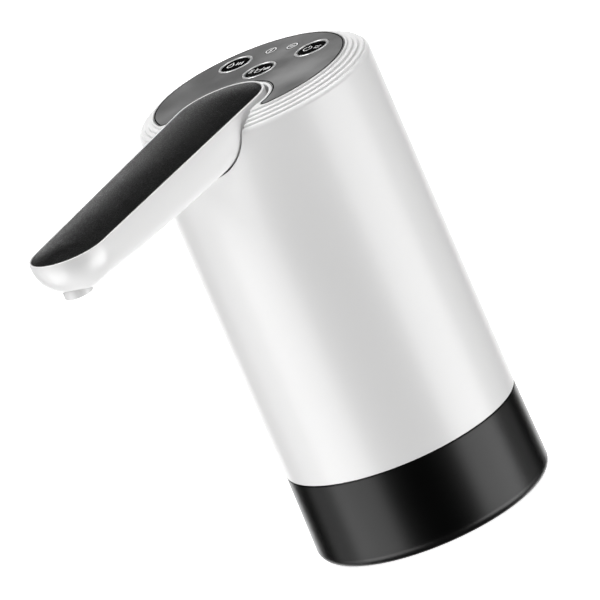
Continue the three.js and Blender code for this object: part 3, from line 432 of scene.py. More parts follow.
class Graph:
    """Shader graph of one material, with its shader and the place on the object."""

    def __init__(self, name: str) -> None:
        """Makes an empty material with one shader.

        Args:
            name: Name of the material.
        """
        self.material = bpy.data.materials.new(name)
        self.material.use_nodes = True
        self.tree = self.material.node_tree
        self.tree.nodes.clear()
        self.shader = self.tree.nodes.new("ShaderNodeBsdfPrincipled")
        output = self.tree.nodes.new("ShaderNodeOutputMaterial")
        self.tree.links.new(self.shader.outputs[0], output.inputs[0])
        self.place = self.node("ShaderNodeTexCoord", output="Object")

    def node(self, kind: str, settings: dict[str, Any] | None = None,
             inputs: dict[str | int, Any] | None = None, output: str | int = 0) -> Signal:
        """Adds a node: its settings first, then its sockets.

        Args:
            kind: Type of the node.
            settings: Settings by name.
            inputs: Values or signals by socket.
            output: Name or number of the output to hand back.

        Returns:
            The signal of that output.
        """
        made = self.tree.nodes.new(kind)
        for key, value in (settings or {}).items():
            setattr(made, key, value)
        for key, value in (inputs or {}).items():
            self.feed(made.inputs[key], value)
        return Signal(self, made.outputs[output])

    def feed(self, socket: bpy.types.NodeSocket, value: Any) -> None:
        """Links a signal to a socket, or sets its value.

        Args:
            socket: The socket.
            value: The signal or the value.
        """
        if isinstance(value, Signal):
            self.tree.links.new(value.socket, socket)
        else:
            socket.default_value = value

    def noise(self, size: float, detail: float = 2, rough: float = 0.5, seed: float = 0,
              place: Signal | None = None) -> Signal:
        """Cloudy noise from 0 to 1.

        Args:
            size: Size of its clouds in millimetres.
            detail: Number of finer layers.
            rough: How strong the finer layers are.
            seed: Picks another pattern of the same kind; 0 is the plain one.
            place: Place on the object, if it isn't the plain one.

        Returns:
            The noise.
        """
        inputs = {"Vector": place or self.place, "Scale": 1 / (size * MM)}
        inputs |= {"Detail": detail, "Roughness": rough}
        if seed:
            inputs["W"] = seed
        settings = {"noise_dimensions": "4D" if seed else "3D"}
        return self.node("ShaderNodeTexNoise", settings, inputs, "Fac")

    def cells(self, size: float, place: Signal | None = None, disorder: float = 1) -> Signal:
        """Distance from the edges of cells.

        Args:
            size: Size of a cell in millimetres.
            place: Place on the object, if it isn't the plain one.
            disorder: How unlike squares the cells are, from 0 to 1.

        Returns:
            The distance, in cell sizes.
        """
        inputs = {"Vector": place or self.place, "Scale": 1 / (size * MM), "Randomness": disorder}
        return self.node("ShaderNodeTexVoronoi", {"feature": "DISTANCE_TO_EDGE"}, inputs, "Distance")

    def ramp(self, value: Value, low: float, high: float) -> Signal:
        """Turns a range of a value smoothly into 0 to 1, and holds it there."""
        inputs = {"Value": value, "From Min": low, "From Max": high}
        return self.node("ShaderNodeMapRange", {"interpolation_type": "SMOOTHSTEP"}, inputs)

    def blend(self, share: Value, first: Colour, second: Colour) -> Signal:
        """Mixes two colours."""
        return self.node("ShaderNodeMix", {"data_type": "RGBA"}, {0: share, 6: first, 7: second}, 2)

    def bump(self, height: Signal, depth: float, strength: float, under: Signal | None = None) -> Signal:
        """Turns a height from 0 to 1 into a normal.

        Args:
            height: The height.
            depth: Real depth in millimetres.
            strength: Strength of the bump.
            under: A coarser bump that this one lies on.

        Returns:
            The normal.
        """
        inputs: dict[str | int, Any] = {"Strength": strength, "Distance": depth * MM, "Height": height}
        if under is not None:
            inputs["Normal"] = under
        return self.node("ShaderNodeBump", None, inputs)


def grey(level: float, warmth: float = 0) -> Colour:
    """A grey with a little warmth, positive towards red."""
    return (level * (1 + warmth), level, level * (1 - warmth), 1)


# Finishes


@dataclass(frozen=True)
class Finish:
    """A finish with a main colour and a second shade, which makes its material once."""

    name: str
    colour: Colour
    shade: Colour
    roughness: float

    def material(self) -> bpy.types.Material:
        """The material of this finish, made at the first call.

        Returns:
            The material.
        """
        title = "finish_" + self.name
        if title not in bpy.data.materials:
            self.draw(Graph(title))
        return bpy.data.materials[title]

    def draw(self, graph: Graph) -> None:
        """Draws the finish in its graph."""
        raise NotImplementedError

    def cover(self, graph: Graph, share: Value, dulling: Value, normal: Signal, **sockets: Any) -> None:
        """Feeds the shader of a graph.

        Args:
            graph: The graph.
            share: Share of the second shade.
            dulling: What is added to the finish's roughness.
            normal: The normal.
            sockets: Other sockets, in which an underscore stands for a space.
        """
        colour = graph.blend(share, self.colour, self.shade)
        sockets |= {"Base_Color": colour, "Roughness": self.roughness + dulling, "Normal": normal}
        for key, value in sockets.items():
            graph.feed(graph.shader.inputs[key.replace("_", " ")], value)


@dataclass(frozen=True)
class MouldedPlastic(Finish):
    """Moulded plastic: faint clouds of gloss, fine mould grain and a little handling wear."""

    gloss_spread: float = 0.05
    specular: float = 0.5
    dust_level: float = 0  # height under which dust dulls the surface
    cloud_size: float = 14
    handled_size: float = 26
    handled_span: Span = (0.52, 0.74)
    scuff_size: float = 1.3
    scuff_span: Span = (0.66, 0.82)
    scuff_dulling: float = 0.12
    dust_size: float = 2.2
    dust_dulling: float = 0.22
    film_size: float = 3.1
    film_cover: float = 0.5
    wave_size: float = 9
    wave_depth: float = 0.02
    grain_size: float = 0.35
    grain_depth: float = 0.004

    def draw(self, graph: Graph) -> None:
        """Draws clouds, grain, scuffs and dust.

        Args:
            graph: Graph of the material.
        """
        clouds = graph.noise(self.cloud_size, 3)
        handled = graph.ramp(graph.noise(self.handled_size, 4, 0.62), *self.handled_span)
        scuffs = graph.ramp(graph.noise(self.scuff_size, 5, 0.7), *self.scuff_span)
        wear = (handled * scuffs).at_most(1)
        dulling = (clouds - 0.5) * self.gloss_spread + wear * self.scuff_dulling
        if self.dust_level > 0:
            height = graph.node("ShaderNodeSeparateXYZ", None, {0: graph.place}, "Z")
            dust = 1 - graph.ramp(height, 0, self.dust_level * MM)
            dulling = dulling + dust * graph.noise(self.dust_size, 4) * self.dust_dulling
            wear = (wear + dust * graph.noise(self.film_size, 4) * self.film_cover).at_most(1)
        waves = graph.bump(graph.noise(self.wave_size, 1), self.wave_depth, 0.5)
        normal = graph.bump(graph.noise(self.grain_size), self.grain_depth, 0.6, waves)
        self.cover(graph, wear, dulling, normal, Specular_IOR_Level=self.specular)


@dataclass(frozen=True)
class GlossPanel(Finish):
    """Dark glossy film with faint smears, hair scratches and pale clouds of painted sheen in its second
    shade.
    """

    smear_dulling: float = 0.08
    specular: float = 0.5
    cloud_size: float = 11
    seed: float = 0
    smear_and_sheen_span: Span = (0.36, 0.7)
    mottle_size: float = 0.6
    mottle_share: float = 0.2
    hair_lean: float = 0.5
    hair_stretch: Place = (12, 0.6, 1)
    hair_size: float = 6.25  # before the stretch
    hair_span: Span = (0.68, 0.74)
    scratch_depth: float = 0.002
    scratch_dulling: float = 0.1
    film_size: float = 0.5
    film_depth: float = 0.003

    def draw(self, graph: Graph) -> None:
        """Draws smears, whose clouds also paint pale sheen in the second shade, scratches and a fine film
        texture.

        Args:
            graph: Graph of the material.
        """
        smears_and_sheen = graph.ramp(graph.noise(self.cloud_size, 3, 0.55, self.seed), *self.smear_and_sheen_span)
        drawn = {"Vector": graph.place, "Rotation": (0, 0, self.hair_lean), "Scale": self.hair_stretch}
        hairs = graph.noise(self.hair_size, 3, place=graph.node("ShaderNodeMapping", None, drawn))
        scratches = graph.ramp(hairs, *self.hair_span)
        film = graph.bump(graph.noise(self.film_size), self.film_depth, 0.5)
        mottle = graph.noise(self.mottle_size) * self.mottle_share
        # The smear clouds also set the colour: their pale parts are painted sheen, not a property of the
        # film.
        tone = (smears_and_sheen * (1 - self.mottle_share) + mottle).at_most(1)
        dulling = smears_and_sheen * self.smear_dulling + scratches * self.scratch_dulling
        normal = graph.bump(1 - scratches, self.scratch_depth, 0.4, film)
        self.cover(graph, tone, dulling, normal, Specular_IOR_Level=self.specular)


@dataclass(frozen=True)
class LeatherGrain(Finish):
    """Pressed black leather grain: small pebbles, soft creases between them and pale specks."""

    pebble_size: float = 0.95
    pebble_rise: float = 0.32  # share of a pebble's size over which its edge rises
    pebble_share: float = 0.45
    small_pebble_size: float = 0.4275
    small_pebble_rise: float = 0.3
    small_pebble_share: float = 0.15
    swell_size: float = 1.1
    swell_share: float = 0.35
    pore_size: float = 0.12
    pore_share: float = 0.05
    crest_power: float = 2.2
    crest_tone: float = 0.06
    crease_dulling: float = 0.2
    rubbed_size: float = 17
    rubbed_span: Span = (0.42, 0.7)
    rubbed_tone: float = 0.08
    rubbed_gloss: float = 0.06
    speck_size: float = 0.42
    speck_span: Span = (0.5, 0.68)
    speck_tone: float = 0.2
    speck_crest_tone: float = 0.7
    speck_gloss: float = 0.14
    fold_size: float = 5.5
    fold_depth: float = 0.12
    depth: float = 0.11
    drift_scale: float = 900  # waves in a metre of the noise that bends the pebbles
    drift: float = 0.35

    def draw(self, graph: Graph) -> None:
        """Draws pebbles of two sizes, creases, fine pores, crests paler than the creases and more so where
        rubbed, and specks.

        Args:
            graph: Graph of the material.
        """
        waves = {"Vector": graph.place, "Scale": self.drift_scale, "Detail": 2}
        drift = {0: graph.node("ShaderNodeTexNoise", None, waves, "Color"), "Scale": self.drift * MM}
        shift = graph.node("ShaderNodeVectorMath", {"operation": "SCALE"}, drift)
        place = graph.node("ShaderNodeVectorMath", {"operation": "ADD"}, {0: graph.place, 1: shift})
        large = graph.ramp(graph.cells(self.pebble_size, place), 0, self.pebble_rise)
        small = graph.ramp(graph.cells(self.small_pebble_size, place), 0, self.small_pebble_rise)
        height = large * self.pebble_share + small * self.small_pebble_share
        height = height + graph.noise(self.swell_size) * self.swell_share
        height = height + graph.noise(self.pore_size) * self.pore_share
        rubbed = graph.ramp(graph.noise(self.rubbed_size, 3), *self.rubbed_span)
        folds = graph.bump(graph.noise(self.fold_size), self.fold_depth, 0.35)
        specks = graph.ramp(graph.noise(self.speck_size, 1), *self.speck_span)
        crests = (height ** self.crest_power) * (self.crest_tone + rubbed * self.rubbed_tone)
        tone = crests + specks * (self.speck_tone + height * self.speck_crest_tone)
        dulling = (1 - height) * self.crease_dulling - rubbed * self.rubbed_gloss
        dulling = dulling + (0.5 - specks) * self.speck_gloss
        self.cover(graph, tone, dulling, graph.bump(height, self.depth, 0.7, folds))


@dataclass(frozen=True)
class BareMetal(Finish):
    """Turned or drawn metal with fine lines and a few dull spots."""

    line_size: float = 0.08
    line_depth: float = 0.003
    line_stretch: Place = (0.08, 0.08, 1)
    line_dulling: float = 0.08
    metallic: float = 1
    spot_size: float = 1.6
    spot_span: Span = (0.55, 0.8)
    spot_dulling: float = 0.12

    def draw(self, graph: Graph) -> None:
        """Draws fine lines round the height and dull spots.

        Args:
            graph: Graph of the material.
        """
        lines = graph.node("ShaderNodeMapping", None, {"Vector": graph.place, "Scale": self.line_stretch})
        grooves = graph.noise(self.line_size, 3, place=lines)
        spots = graph.ramp(graph.noise(self.spot_size, 4, 0.6), *self.spot_span)
        dulling = spots * self.spot_dulling + (grooves - 0.5) * self.line_dulling
        self.cover(graph, spots, dulling, graph.bump(grooves, self.line_depth, 0.4), Metallic=self.metallic)


@dataclass(frozen=True)
class SoftMoulding(Finish):
    """Silicone or rubber: matt skin with flow clouds and a fine moulded texture."""

    clear: float = 0  # share of the light that passes under the skin
    clear_reach: float = 2
    specular: float = 0.4
    cloud_size: float = 7
    gloss_spread: float = 0.12
    lint_size: float = 0.4
    lint_span: Span = (0.7, 0.78)
    lint_dulling: float = 0.15
    skin_size: float = 0.25
    skin_depth: float = 0.01

    def draw(self, graph: Graph) -> None:
        """Draws clouds, texture and specks of lint.

        Args:
            graph: Graph of the material.
        """
        clouds = graph.noise(self.cloud_size, 3)
        lint = graph.ramp(graph.noise(self.lint_size, 3), *self.lint_span)
        dulling = (clouds - 0.5) * self.gloss_spread + lint * self.lint_dulling
        normal = graph.bump(graph.noise(self.skin_size), self.skin_depth, 0.5)
        self.cover(graph, clouds, dulling, normal, Specular_IOR_Level=self.specular,
                   Subsurface_Weight=self.clear, Subsurface_Scale=self.clear_reach * MM)


@dataclass(frozen=True)
class PrintedInk(Finish):
    """Printed mark: thin ink that is slightly broken, in its second shade where it covers well."""

    cover_size: float = 0.3
    cover_span: Span = (0.35, 0.7)
    cover_dulling: float = 0.15
    texture_size: float = 0.15
    texture_depth: float = 0.004

    def draw(self, graph: Graph) -> None:
        """Draws the ink's uneven cover.

        Args:
            graph: Graph of the material.
        """
        full = graph.ramp(graph.noise(self.cover_size, 3), *self.cover_span)
        normal = graph.bump(graph.noise(self.texture_size), self.texture_depth, 0.5)
        self.cover(graph, full, full * self.cover_dulling, normal)


@dataclass(frozen=True)
class LacqueredBoard(Finish):
    """Circuit board lacquer with paler copper runs under it."""

    run_spacing: float = 2.4
    run_disorder: float = 0.35
    run_span: Span = (0.05, 0.1)
    cloud_size: float = 1.2
    cloud_dulling: float = 0.15
    weave_size: float = 0.3
    weave_share: float = 0.2
    depth: float = 0.03

    def draw(self, graph: Graph) -> None:
        """Draws the runs as edges of square cells and the glass weave as a fine bump.

        Args:
            graph: Graph of the material.
        """
        runs = 1 - graph.ramp(graph.cells(self.run_spacing, disorder=self.run_disorder), *self.run_span)
        normal = graph.bump(runs + graph.noise(self.weave_size) * self.weave_share, self.depth, 0.5)
        self.cover(graph, runs, graph.noise(self.cloud_size, 3) * self.cloud_dulling, normal)


@dataclass(frozen=True)
class StudioFloor(Finish):
    """Plain pale floor with the faintest unevenness."""

    glow: float = 0.9
    specular: float = 0.2
    cloud_size: float = 900
    cloud_dulling: float = 0.05
    texture_size: float = 6
    texture_depth: float = 0.02

    def draw(self, graph: Graph) -> None:
        """Draws broad, faint clouds.

        Args:
            graph: Graph of the material.
        """
        clouds = graph.noise(self.cloud_size, 3)
        normal = graph.bump(graph.noise(self.texture_size), self.texture_depth, 0.2)
        self.cover(graph, clouds, clouds * self.cloud_dulling, normal, Specular_IOR_Level=self.specular,
                   Emission_Color=grey(1), Emission_Strength=self.glow)


WHITE_SHELL = MouldedPlastic("white_shell", grey(0.76, 0.002), grey(0.71, 0.006), 0.35, 0.04, 1.0)
BLACK_BASE = MouldedPlastic("black_base", grey(0.0004), grey(0.003), 0.31, 0.04, 0.36, dust_level=5)
BLACK_PLASTIC = MouldedPlastic("black_plastic", grey(0.012), grey(0.03), 0.42)
GREY_PLASTIC = MouldedPlastic("grey_plastic", grey(0.34), grey(0.27), 0.48)
CELL_WRAP = MouldedPlastic("cell_wrap", (0.05, 0.16, 0.38, 1), (0.09, 0.2, 0.4, 1), 0.33)
LEAD_RED = MouldedPlastic("lead_red", (0.4, 0.02, 0.015, 1), (0.3, 0.03, 0.02, 1), 0.4)
# The panel's pale clouds, placed by the cloud size and seed, are painted sheen that stands for a soft
# reflection.
PANEL_GLOSS_AND_PAINTED_SHEEN = GlossPanel("panel_gloss", grey(0.074), grey(0.25), 0.34, 0.08, 0.25, 30, 23.5)
BUTTON_GLOSS = GlossPanel("button_gloss", grey(0.003), grey(0.008), 0.12, 0.05, 0.2)
SMOKED_LENS = GlossPanel("smoked_lens", grey(0.01), grey(0.02), 0.1, 0.04, 0.2)
BRIGHT_RING = BareMetal("bright_ring", grey(0.85), grey(0.75), 0.34, line_depth=0.0005, metallic=0.6)
STEEL = BareMetal("steel", grey(0.58), grey(0.45), 0.3)
BLACK_LEATHER = LeatherGrain("black_leather", grey(0.003), grey(0.042, -0.01), 0.3)
SILICONE = SoftMoulding("silicone", grey(0.66), grey(0.56), 0.45, clear=0.2)
BLACK_RUBBER = SoftMoulding("black_rubber", grey(0.014), grey(0.024), 0.7)
MARK_INK = PrintedInk("mark_ink", grey(0.72), grey(0.85), 0.35)
BOARD_GREEN = LacqueredBoard("board_green", (0.012, 0.1, 0.035, 1), (0.03, 0.19, 0.07, 1), 0.3)
FLOOR = StudioFloor("floor", grey(0.9), grey(0.88), 0.85)


class Body(Enum):
    """Bodies that pieces ride on."""

    HOUSING = "housing"
    ARM = "arm"
    LEFT_BUTTON = "left_button"
    FRONT_BUTTON = "front_button"
    RIGHT_BUTTON = "right_button"


def dressed(piece: Piece, body: Body, finish: Finish, *nodes: str, slot: str = "") -> Piece:
    """Gives a piece its finish and its body, and hides the solids that it stands for.

    Args:
        piece: The piece.
        body: Body that it rides on.
        finish: Its finish.
        nodes: Solids that it stands for.
        slot: Name of the finish's slot in the record, if it isn't the finish's own name; not used.

    Returns:
        The same piece.
    """
    piece.data.materials.clear()
    piece.data.materials.append(finish.material())
    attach(piece, body.value)
    if nodes:
        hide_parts(*nodes)
    log.info("%s: %d faces, rides on %s", piece.name, len(piece.data.polygons), body.value)
    return piece


@dataclass(frozen=True)
class Layout:
    """Levels and radii that several sub-assemblies share."""

    body_radius: float = 36.0
    body_wall: float = 2.2
    base_height: float = 27.6
    panel_level: float = 141.9
    panel_thickness: float = 1.2
    panel_radius: float = 29.8
    deck_thickness: float = 1.8
    rim_width: float = 0.7
    fit_gap: float = 0.3
    hair_gap: float = 0.15
    root_offset: float = 18.7
    pivot_drop: float = 3.2
    arm_rise: float = 1.3
    arm_side: float = 1.55
    arm_span: float = 92.5
    root_radius: float = 14.4
    tip_radius: float = 12.5
    root_depth: float = 14.25
    tip_depth: float = 11.8
    sweep_gap: float = 0.15
    collar_width: float = 1.2
    seat_wall: float = 1.6
    cheek_length: float = 4.2
    pin_radius: float = 1.0
    pin_gap: float = 0.2
    hose_radius: float = 2.7
    hose_bore: float = 2.1
    board_top: float = 132.85
    ring_radius: float = 5.4
    ring_width: float = 0.75
    lens_radius: float = 1.9
    button_places: tuple[Point, ...] = ((-13.65, 15.747), (0, 6.5), (13.65, 15.747))
    lens_places: tuple[Point, ...] = ((-3.8, 21.0), (3.8, 21.0))

    @property
    def inner_radius(self) -> float:
        """Radius inside the body's wall."""
        return self.body_radius - self.body_wall

    @property
    def rim_radius(self) -> float:
        """Outside of the rim round the panel."""
        return self.panel_radius + self.hair_gap + self.rim_width

    @property
    def deck_top(self) -> float:
        """Top of the deck under the panel."""
        return self.panel_level - self.panel_thickness - self.hair_gap

    @property
    def deck_under(self) -> float:
        """Underside of the deck."""
        return self.deck_top - self.deck_thickness

    @property
    def arm_top(self) -> float:
        """Top of the arm above its pivot."""
        return self.arm_rise + self.pivot_drop

    @property
    def section_level(self) -> float:
        """Centre of the arm's round section above its pivot."""
        return self.arm_top - self.arm_side

    @property
    def mouth_radius(self) -> float:
        """Radius of the arm's seat at the panel's level."""
        return math.hypot(self.root_radius, self.arm_top) + self.sweep_gap

    @property
    def seat_radius(self) -> float:
        """Radius of the ball in which the arm's root turns."""
        return math.hypot(self.mouth_radius, self.pivot_drop)

    @property
    def pin_end(self) -> float:
        """Outer end of the pivot's pins."""
        return self.seat_radius + self.seat_wall + self.cheek_length

    @property
    def button_radius(self) -> float:
        """Radius of a button's face."""
        return self.ring_radius - self.ring_width - self.hair_gap

    def from_pivot(self, x: float = 0, y: float = 0, z: float = 0) -> Place:
        """A point of the arm's own frame, whose origin is the pivot, in the shared frame."""
        return (x, -self.root_offset + y, self.panel_level - self.pivot_drop + z)

    def axle(self, radius: float, start: float, end: float, sides: int, name: str = "cutter") -> Piece:
        """A round bar on the pivot's axis, between two distances from the middle."""
        return piped([self.from_pivot(start), self.from_pivot(end)], radius, sides, name=name)

    def section_depth(self, root: float, tip: float, share: float) -> float:
        """Depth of the arm's section at a share of the way to its tip."""
        return tip + (root - tip) * (1 - share * share)


@dataclass(frozen=True)
class Screw:
    """Pan head screw with a cross in its head, which points down."""

    head: float = 2.4
    head_height: float = 1.6
    head_foot_edge: float = 0.15
    head_edge: float = 0.7
    shank: float = 1.1
    length: float = 6.5
    point_share: float = 0.5
    pitch: float = 0.8
    first_turn: float = 0.6
    plain_length: float = 1.0
    root_share: float = 0.86
    cross_width: float = 0.5
    cross_depth: float = 0.6
    cross_share: float = 0.62
    sides: int = 36

    def build(self, name: str, place: Place) -> Piece:
        """Builds the screw.

        Args:
            name: Name of the piece.
            place: Middle of the head's face that bears on the part.

        Returns:
            The screw.
        """
        threads: list[Corner] = []
        for i in range(int((self.length - self.plain_length) / self.pitch)):
            low = -self.length + self.first_turn + i * self.pitch
            threads += [(self.shank * self.root_share, low, 0), (self.shank, low + self.pitch / 2, 0)]
        corners = [
            (0, -self.length, 0), (self.shank * self.point_share, -self.length, 0), *threads,
            (self.shank, 0, 0), (self.head, 0, self.head_foot_edge),
            (self.head, self.head_height, self.head_edge), (0, self.head_height, 0),
        ]
        piece = lathed(name, rounded(corners, 6), self.sides)
        half, reach = self.cross_width / 2, self.head * self.cross_share
        low, high = self.head_height - self.cross_depth, self.head_height + THROUGH
        cross = [block((-x, -y, low), (x, y, high)) for x, y in ((half, reach), (reach, half))]
        combine(piece, cross, Way.CUT)
        piece.data.transform(Matrix.Translation(Vector(place) * MM) @ Matrix.Rotation(HALF_TURN, 4, "X"))
        return smoothed(piece)


@dataclass
class BaseSocket:
    """Black base ring with the bottle's socket, its seal and its screws."""

    layout: Layout
    flare: float = 0.4
    fillet: float = 3.4
    wall: float = 6.4
    lift: float = 8.1
    deck: float = 3.5
    collar_height: float = 3.5
    collar_wall: float = 2.2
    groove_depth: float = 1.4
    groove_height: float = 1.5
    elbow_radius: float = 4.2
    edge: float = 0.35
    mouth_edge: float = 0.8
    roof_edge: float = 1.0
    seal_low: float = 2.0
    seal_wall: float = 1.0
    seal_edge: float = 0.3
    lip_count: int = 3
    lip_reach: float = 1.1
    lip_root: float = 2.0
    lip_tip: float = 0.7
    screw: Screw = Screw()
    screw_count: int = 3
    screw_inset: float = 6.0
    screw_gap: float = 0.15
    sides: int = 224

    @property
    def socket_radius(self) -> float:
        """Radius of the socket."""
        return self.layout.body_radius - self.wall

    @property
    def socket_depth(self) -> float:
        """Height of the socket's roof."""
        return self.layout.base_height - self.lift

    def screw_places(self) -> list[Point]:
        """Places of the screws."""
        circle = self.socket_radius - self.screw_inset
        return arc(0, 0, circle, QUARTER_TURN, QUARTER_TURN + FULL_TURN, self.screw_count)[:-1]

    def ring(self) -> Piece:
        """The base ring with the collar that enters the body.

        Returns:
            The ring.
        """
        lay, roof = self.layout, self.socket_depth
        bottom, top = lay.body_radius + self.flare, lay.base_height
        collar, collar_top = lay.inner_radius - lay.fit_gap, top + self.collar_height
        groove = top + (self.collar_height - self.groove_height) / 2
        groove_top, groove_floor = groove + self.groove_height, collar - self.groove_depth
        inner, deck = collar - self.collar_wall, roof + self.deck
        bore = self.elbow_radius + lay.fit_gap
        corner = arc(bottom - self.fillet, self.fillet, self.fillet, -QUARTER_TURN, 0, 20)
        corners = [
            (self.socket_radius, 0, self.mouth_edge), *[(x, z, 0) for x, z in corner],
            (lay.body_radius, top, self.edge), (collar, top, 0), (collar, groove, 0),
            (groove_floor, groove, 0), (groove_floor, groove_top, 0), (collar, groove_top, 0),
            (collar, collar_top, self.edge), (inner, collar_top, self.edge), (inner, deck, 0),
            (bore, deck, 0), (bore, roof, self.edge), (self.socket_radius, roof, self.roof_edge),
        ]
        piece = lathed("base_ring_skin", rounded(corners, 6), self.sides)
        low, screw, places = roof - THROUGH, self.screw, self.screw_places()
        seat = roof + screw.head_height + self.screw_gap - THROUGH
        cutters = bores(places, screw.shank + self.screw_gap, low, deck + 1, 0.1, 32)
        cutters += bores(places, screw.head + self.screw_gap, low, seat, 0.01, 48)
        return smoothed(combine(piece, cutters, Way.CUT))

    def seal(self) -> Piece:
        """The silicone seal with its lips.

        Returns:
            The seal.
        """
        outer, edge = self.socket_radius - self.layout.hair_gap, self.seal_edge
        inner, high = outer - self.seal_wall, self.socket_depth - self.layout.fit_gap
        spacing = (high - self.seal_low) / self.lip_count
        corners = [(outer, self.seal_low, edge), (outer, high, edge), (inner, high, 0.2)]
        for i in range(self.lip_count):
            level = high - spacing / 2 - i * spacing
            root, tip = (inner, self.lip_root / 2), (inner - self.lip_reach, self.lip_tip / 2)
            corners += [(x, level + half, edge) for x, half in (root, tip)]
            corners += [(x, level - half, edge) for x, half in (tip, root)]
        corners.append((inner, self.seal_low, edge))
        return smoothed(lathed("neck_seal_skin", rounded(corners), self.sides))

    def build(self) -> None:
        """Builds and dresses the base."""
        dressed(self.ring(), Body.HOUSING, BLACK_BASE, "base_ring")
        dressed(self.seal(), Body.HOUSING, SILICONE, "neck_seal")
        for i, (x, y) in enumerate(self.screw_places()):
            name, place = f"base_screw_{i + 1}", (x, y, self.socket_depth + self.screw.head_height)
            dressed(self.screw.build(name + "_skin", place), Body.HOUSING, STEEL, name)


@dataclass
class BodyShell:
    """White body: wall, four steps, deck, the arm's seat with its collar and slot, and the charging port."""

    layout: Layout
    step_count: int = 4
    step_run: float = 1.4
    step_drop: float = 0.77
    step_lean: float = 0.12
    step_edge: float = 0.3
    step_root: float = 0.14
    step_cover: float = 0.4  # least thickness of the steps over the slot's liner
    shoulder_drop: float = 1.45
    haunch: float = 2.4
    edge: float = 0.25
    recess_edge: float = 0.2
    seat_edge: float = 0.32
    slot_gap: float = 0.5
    slot_flare: float = 1.5
    slot_flare_drop: float = 3.0
    flare_power: float = 1.6
    flare_steps: int = 8
    slot_steps: int = 6
    cheek_radius: float = 3.4
    horn_radius: float = 1.9
    hole_edge: float = 0.01
    port_width: float = 8.94
    port_height: float = 3.26
    port_depth: float = 7.3
    port_wall: float = 0.35
    port_floor: float = 1.2
    port_gap: float = 0.35
    port_lift: float = 0.1
    tongue_width: float = 6.6
    tongue_length: float = 4.4
    tongue_thickness: float = 0.7
    sides: int = 288

    def panel_outline(self, grow: float = 0) -> list[Point]:
        """Outline of the panel: a disc with a round notch for the arm and rounded horns beside it.

        Args:
            grow: How far the outline lies outside the panel's own.

        Returns:
            The outline.
        """
        offset, notch_radius = self.layout.root_offset, self.layout.mouth_radius + self.layout.collar_width
        outer, notch = self.layout.panel_radius + grow, notch_radius - grow
        horn = self.horn_radius + grow
        reach, span = outer - horn, notch + horn
        horn_y = (span * span - reach * reach - offset ** 2) / (2 * offset)
        horn_x = math.sqrt(reach * reach - horn_y * horn_y)
        outer_angle, notch_angle = math.atan2(horn_y, horn_x), math.atan2(horn_y + offset, horn_x)
        return [
            *arc(0, 0, outer, outer_angle, HALF_TURN - outer_angle, 150),
            *arc(-horn_x, horn_y, horn, HALF_TURN - outer_angle, FULL_TURN - notch_angle, 16)[1:],
            *arc(0, -offset, notch, HALF_TURN - notch_angle, notch_angle, 70)[1:],
            *arc(horn_x, horn_y, horn, HALF_TURN + notch_angle, FULL_TURN + outer_angle, 16)[1:-1],
        ]

    def skin(self) -> Piece:
        """The turned body before its cuts.

        Returns:
            The body.
        """
        lay = self.layout
        corners: list[Corner] = [(0, lay.panel_level, 0)]
        for step in range(self.step_count):
            foot, level = lay.rim_radius + step * self.step_run, lay.panel_level - step * self.step_drop
            corners.append((foot - self.step_lean, level, self.step_edge))
            corners.append((foot, level - self.step_drop, self.step_root))
        foot, level = corners[-1][:2]
        bulge, low = lay.body_radius - foot, level - self.shoulder_drop
        shoulder = arc(foot, low, bulge, QUARTER_TURN, 0, 16, self.shoulder_drop / bulge)
        inner, bottom = lay.inner_radius, lay.base_height + lay.hair_gap
        corners += [(x, z, 0) for x, z in shoulder[1:]]
        corners += [
            (lay.body_radius, bottom, self.edge), (inner, bottom, self.edge),
            (inner, low - self.haunch / 2, 0), (inner - self.haunch, lay.deck_under, 0),
            (0, lay.deck_under, 0),
        ]
        return lathed("body_skin", rounded(corners), self.sides)

    def slot_cutter(self, grow: float, flare: float) -> Piece:
        """The slot through the wall: a half round whose straight cheeks open out near the top.

        Args:
            grow: How far its sides lie outside the slot's own.
            flare: How far the cheeks open out where the slot leaves the body.

        Returns:
            The cutter.
        """
        lay = self.layout
        share = (lay.body_radius - lay.root_offset) / lay.arm_span
        radius = lay.section_depth(lay.root_depth, lay.tip_depth, share) + self.slot_gap + grow
        flare_low = lay.pivot_drop - self.slot_flare_drop
        below = [p for p in arc(0, lay.section_level, radius, -QUARTER_TURN, 0, 40) if p[1] < flare_low]
        rings = []
        for i in range(self.slot_steps + 1):
            out, right = i / self.slot_steps, list(below)
            for k in range(self.flare_steps + 1):
                part = k / self.flare_steps
                right.append((radius + flare * out * part ** self.flare_power,
                              flare_low + (lay.pivot_drop - flare_low) * part))
            right.append((radius + flare * out, lay.arm_top + THROUGH))
            section = [*right, *[(-x, z) for x, z in right[:0:-1]]]
            end = (lay.root_offset - lay.body_radius - THROUGH) * out
            rings.append([lay.from_pivot(x, end, z) for x, z in section])
        return skinned("cutter", rings)

    def seat(self) -> Piece:
        """Cutter of the arm's seat: a ball with a rounded mouth.

        Returns:
            The cutter.
        """
        lay, edge = self.layout, self.seat_edge
        rise = math.asin((lay.pivot_drop - edge) / lay.seat_radius)
        ball = arc(0, 0, lay.seat_radius, -QUARTER_TURN, rise, 56)
        mouth, high = lay.seat_radius * math.cos(rise), lay.pivot_drop + THROUGH
        crest = [(mouth + inset, z) for inset, z in lip(edge, lay.pivot_drop, 6)]
        profile = [(0, -lay.seat_radius), *ball[1:], *crest[1:], (mouth + edge, high), (0, high)]
        return lathed("cutter", profile, 160, lay.from_pivot())

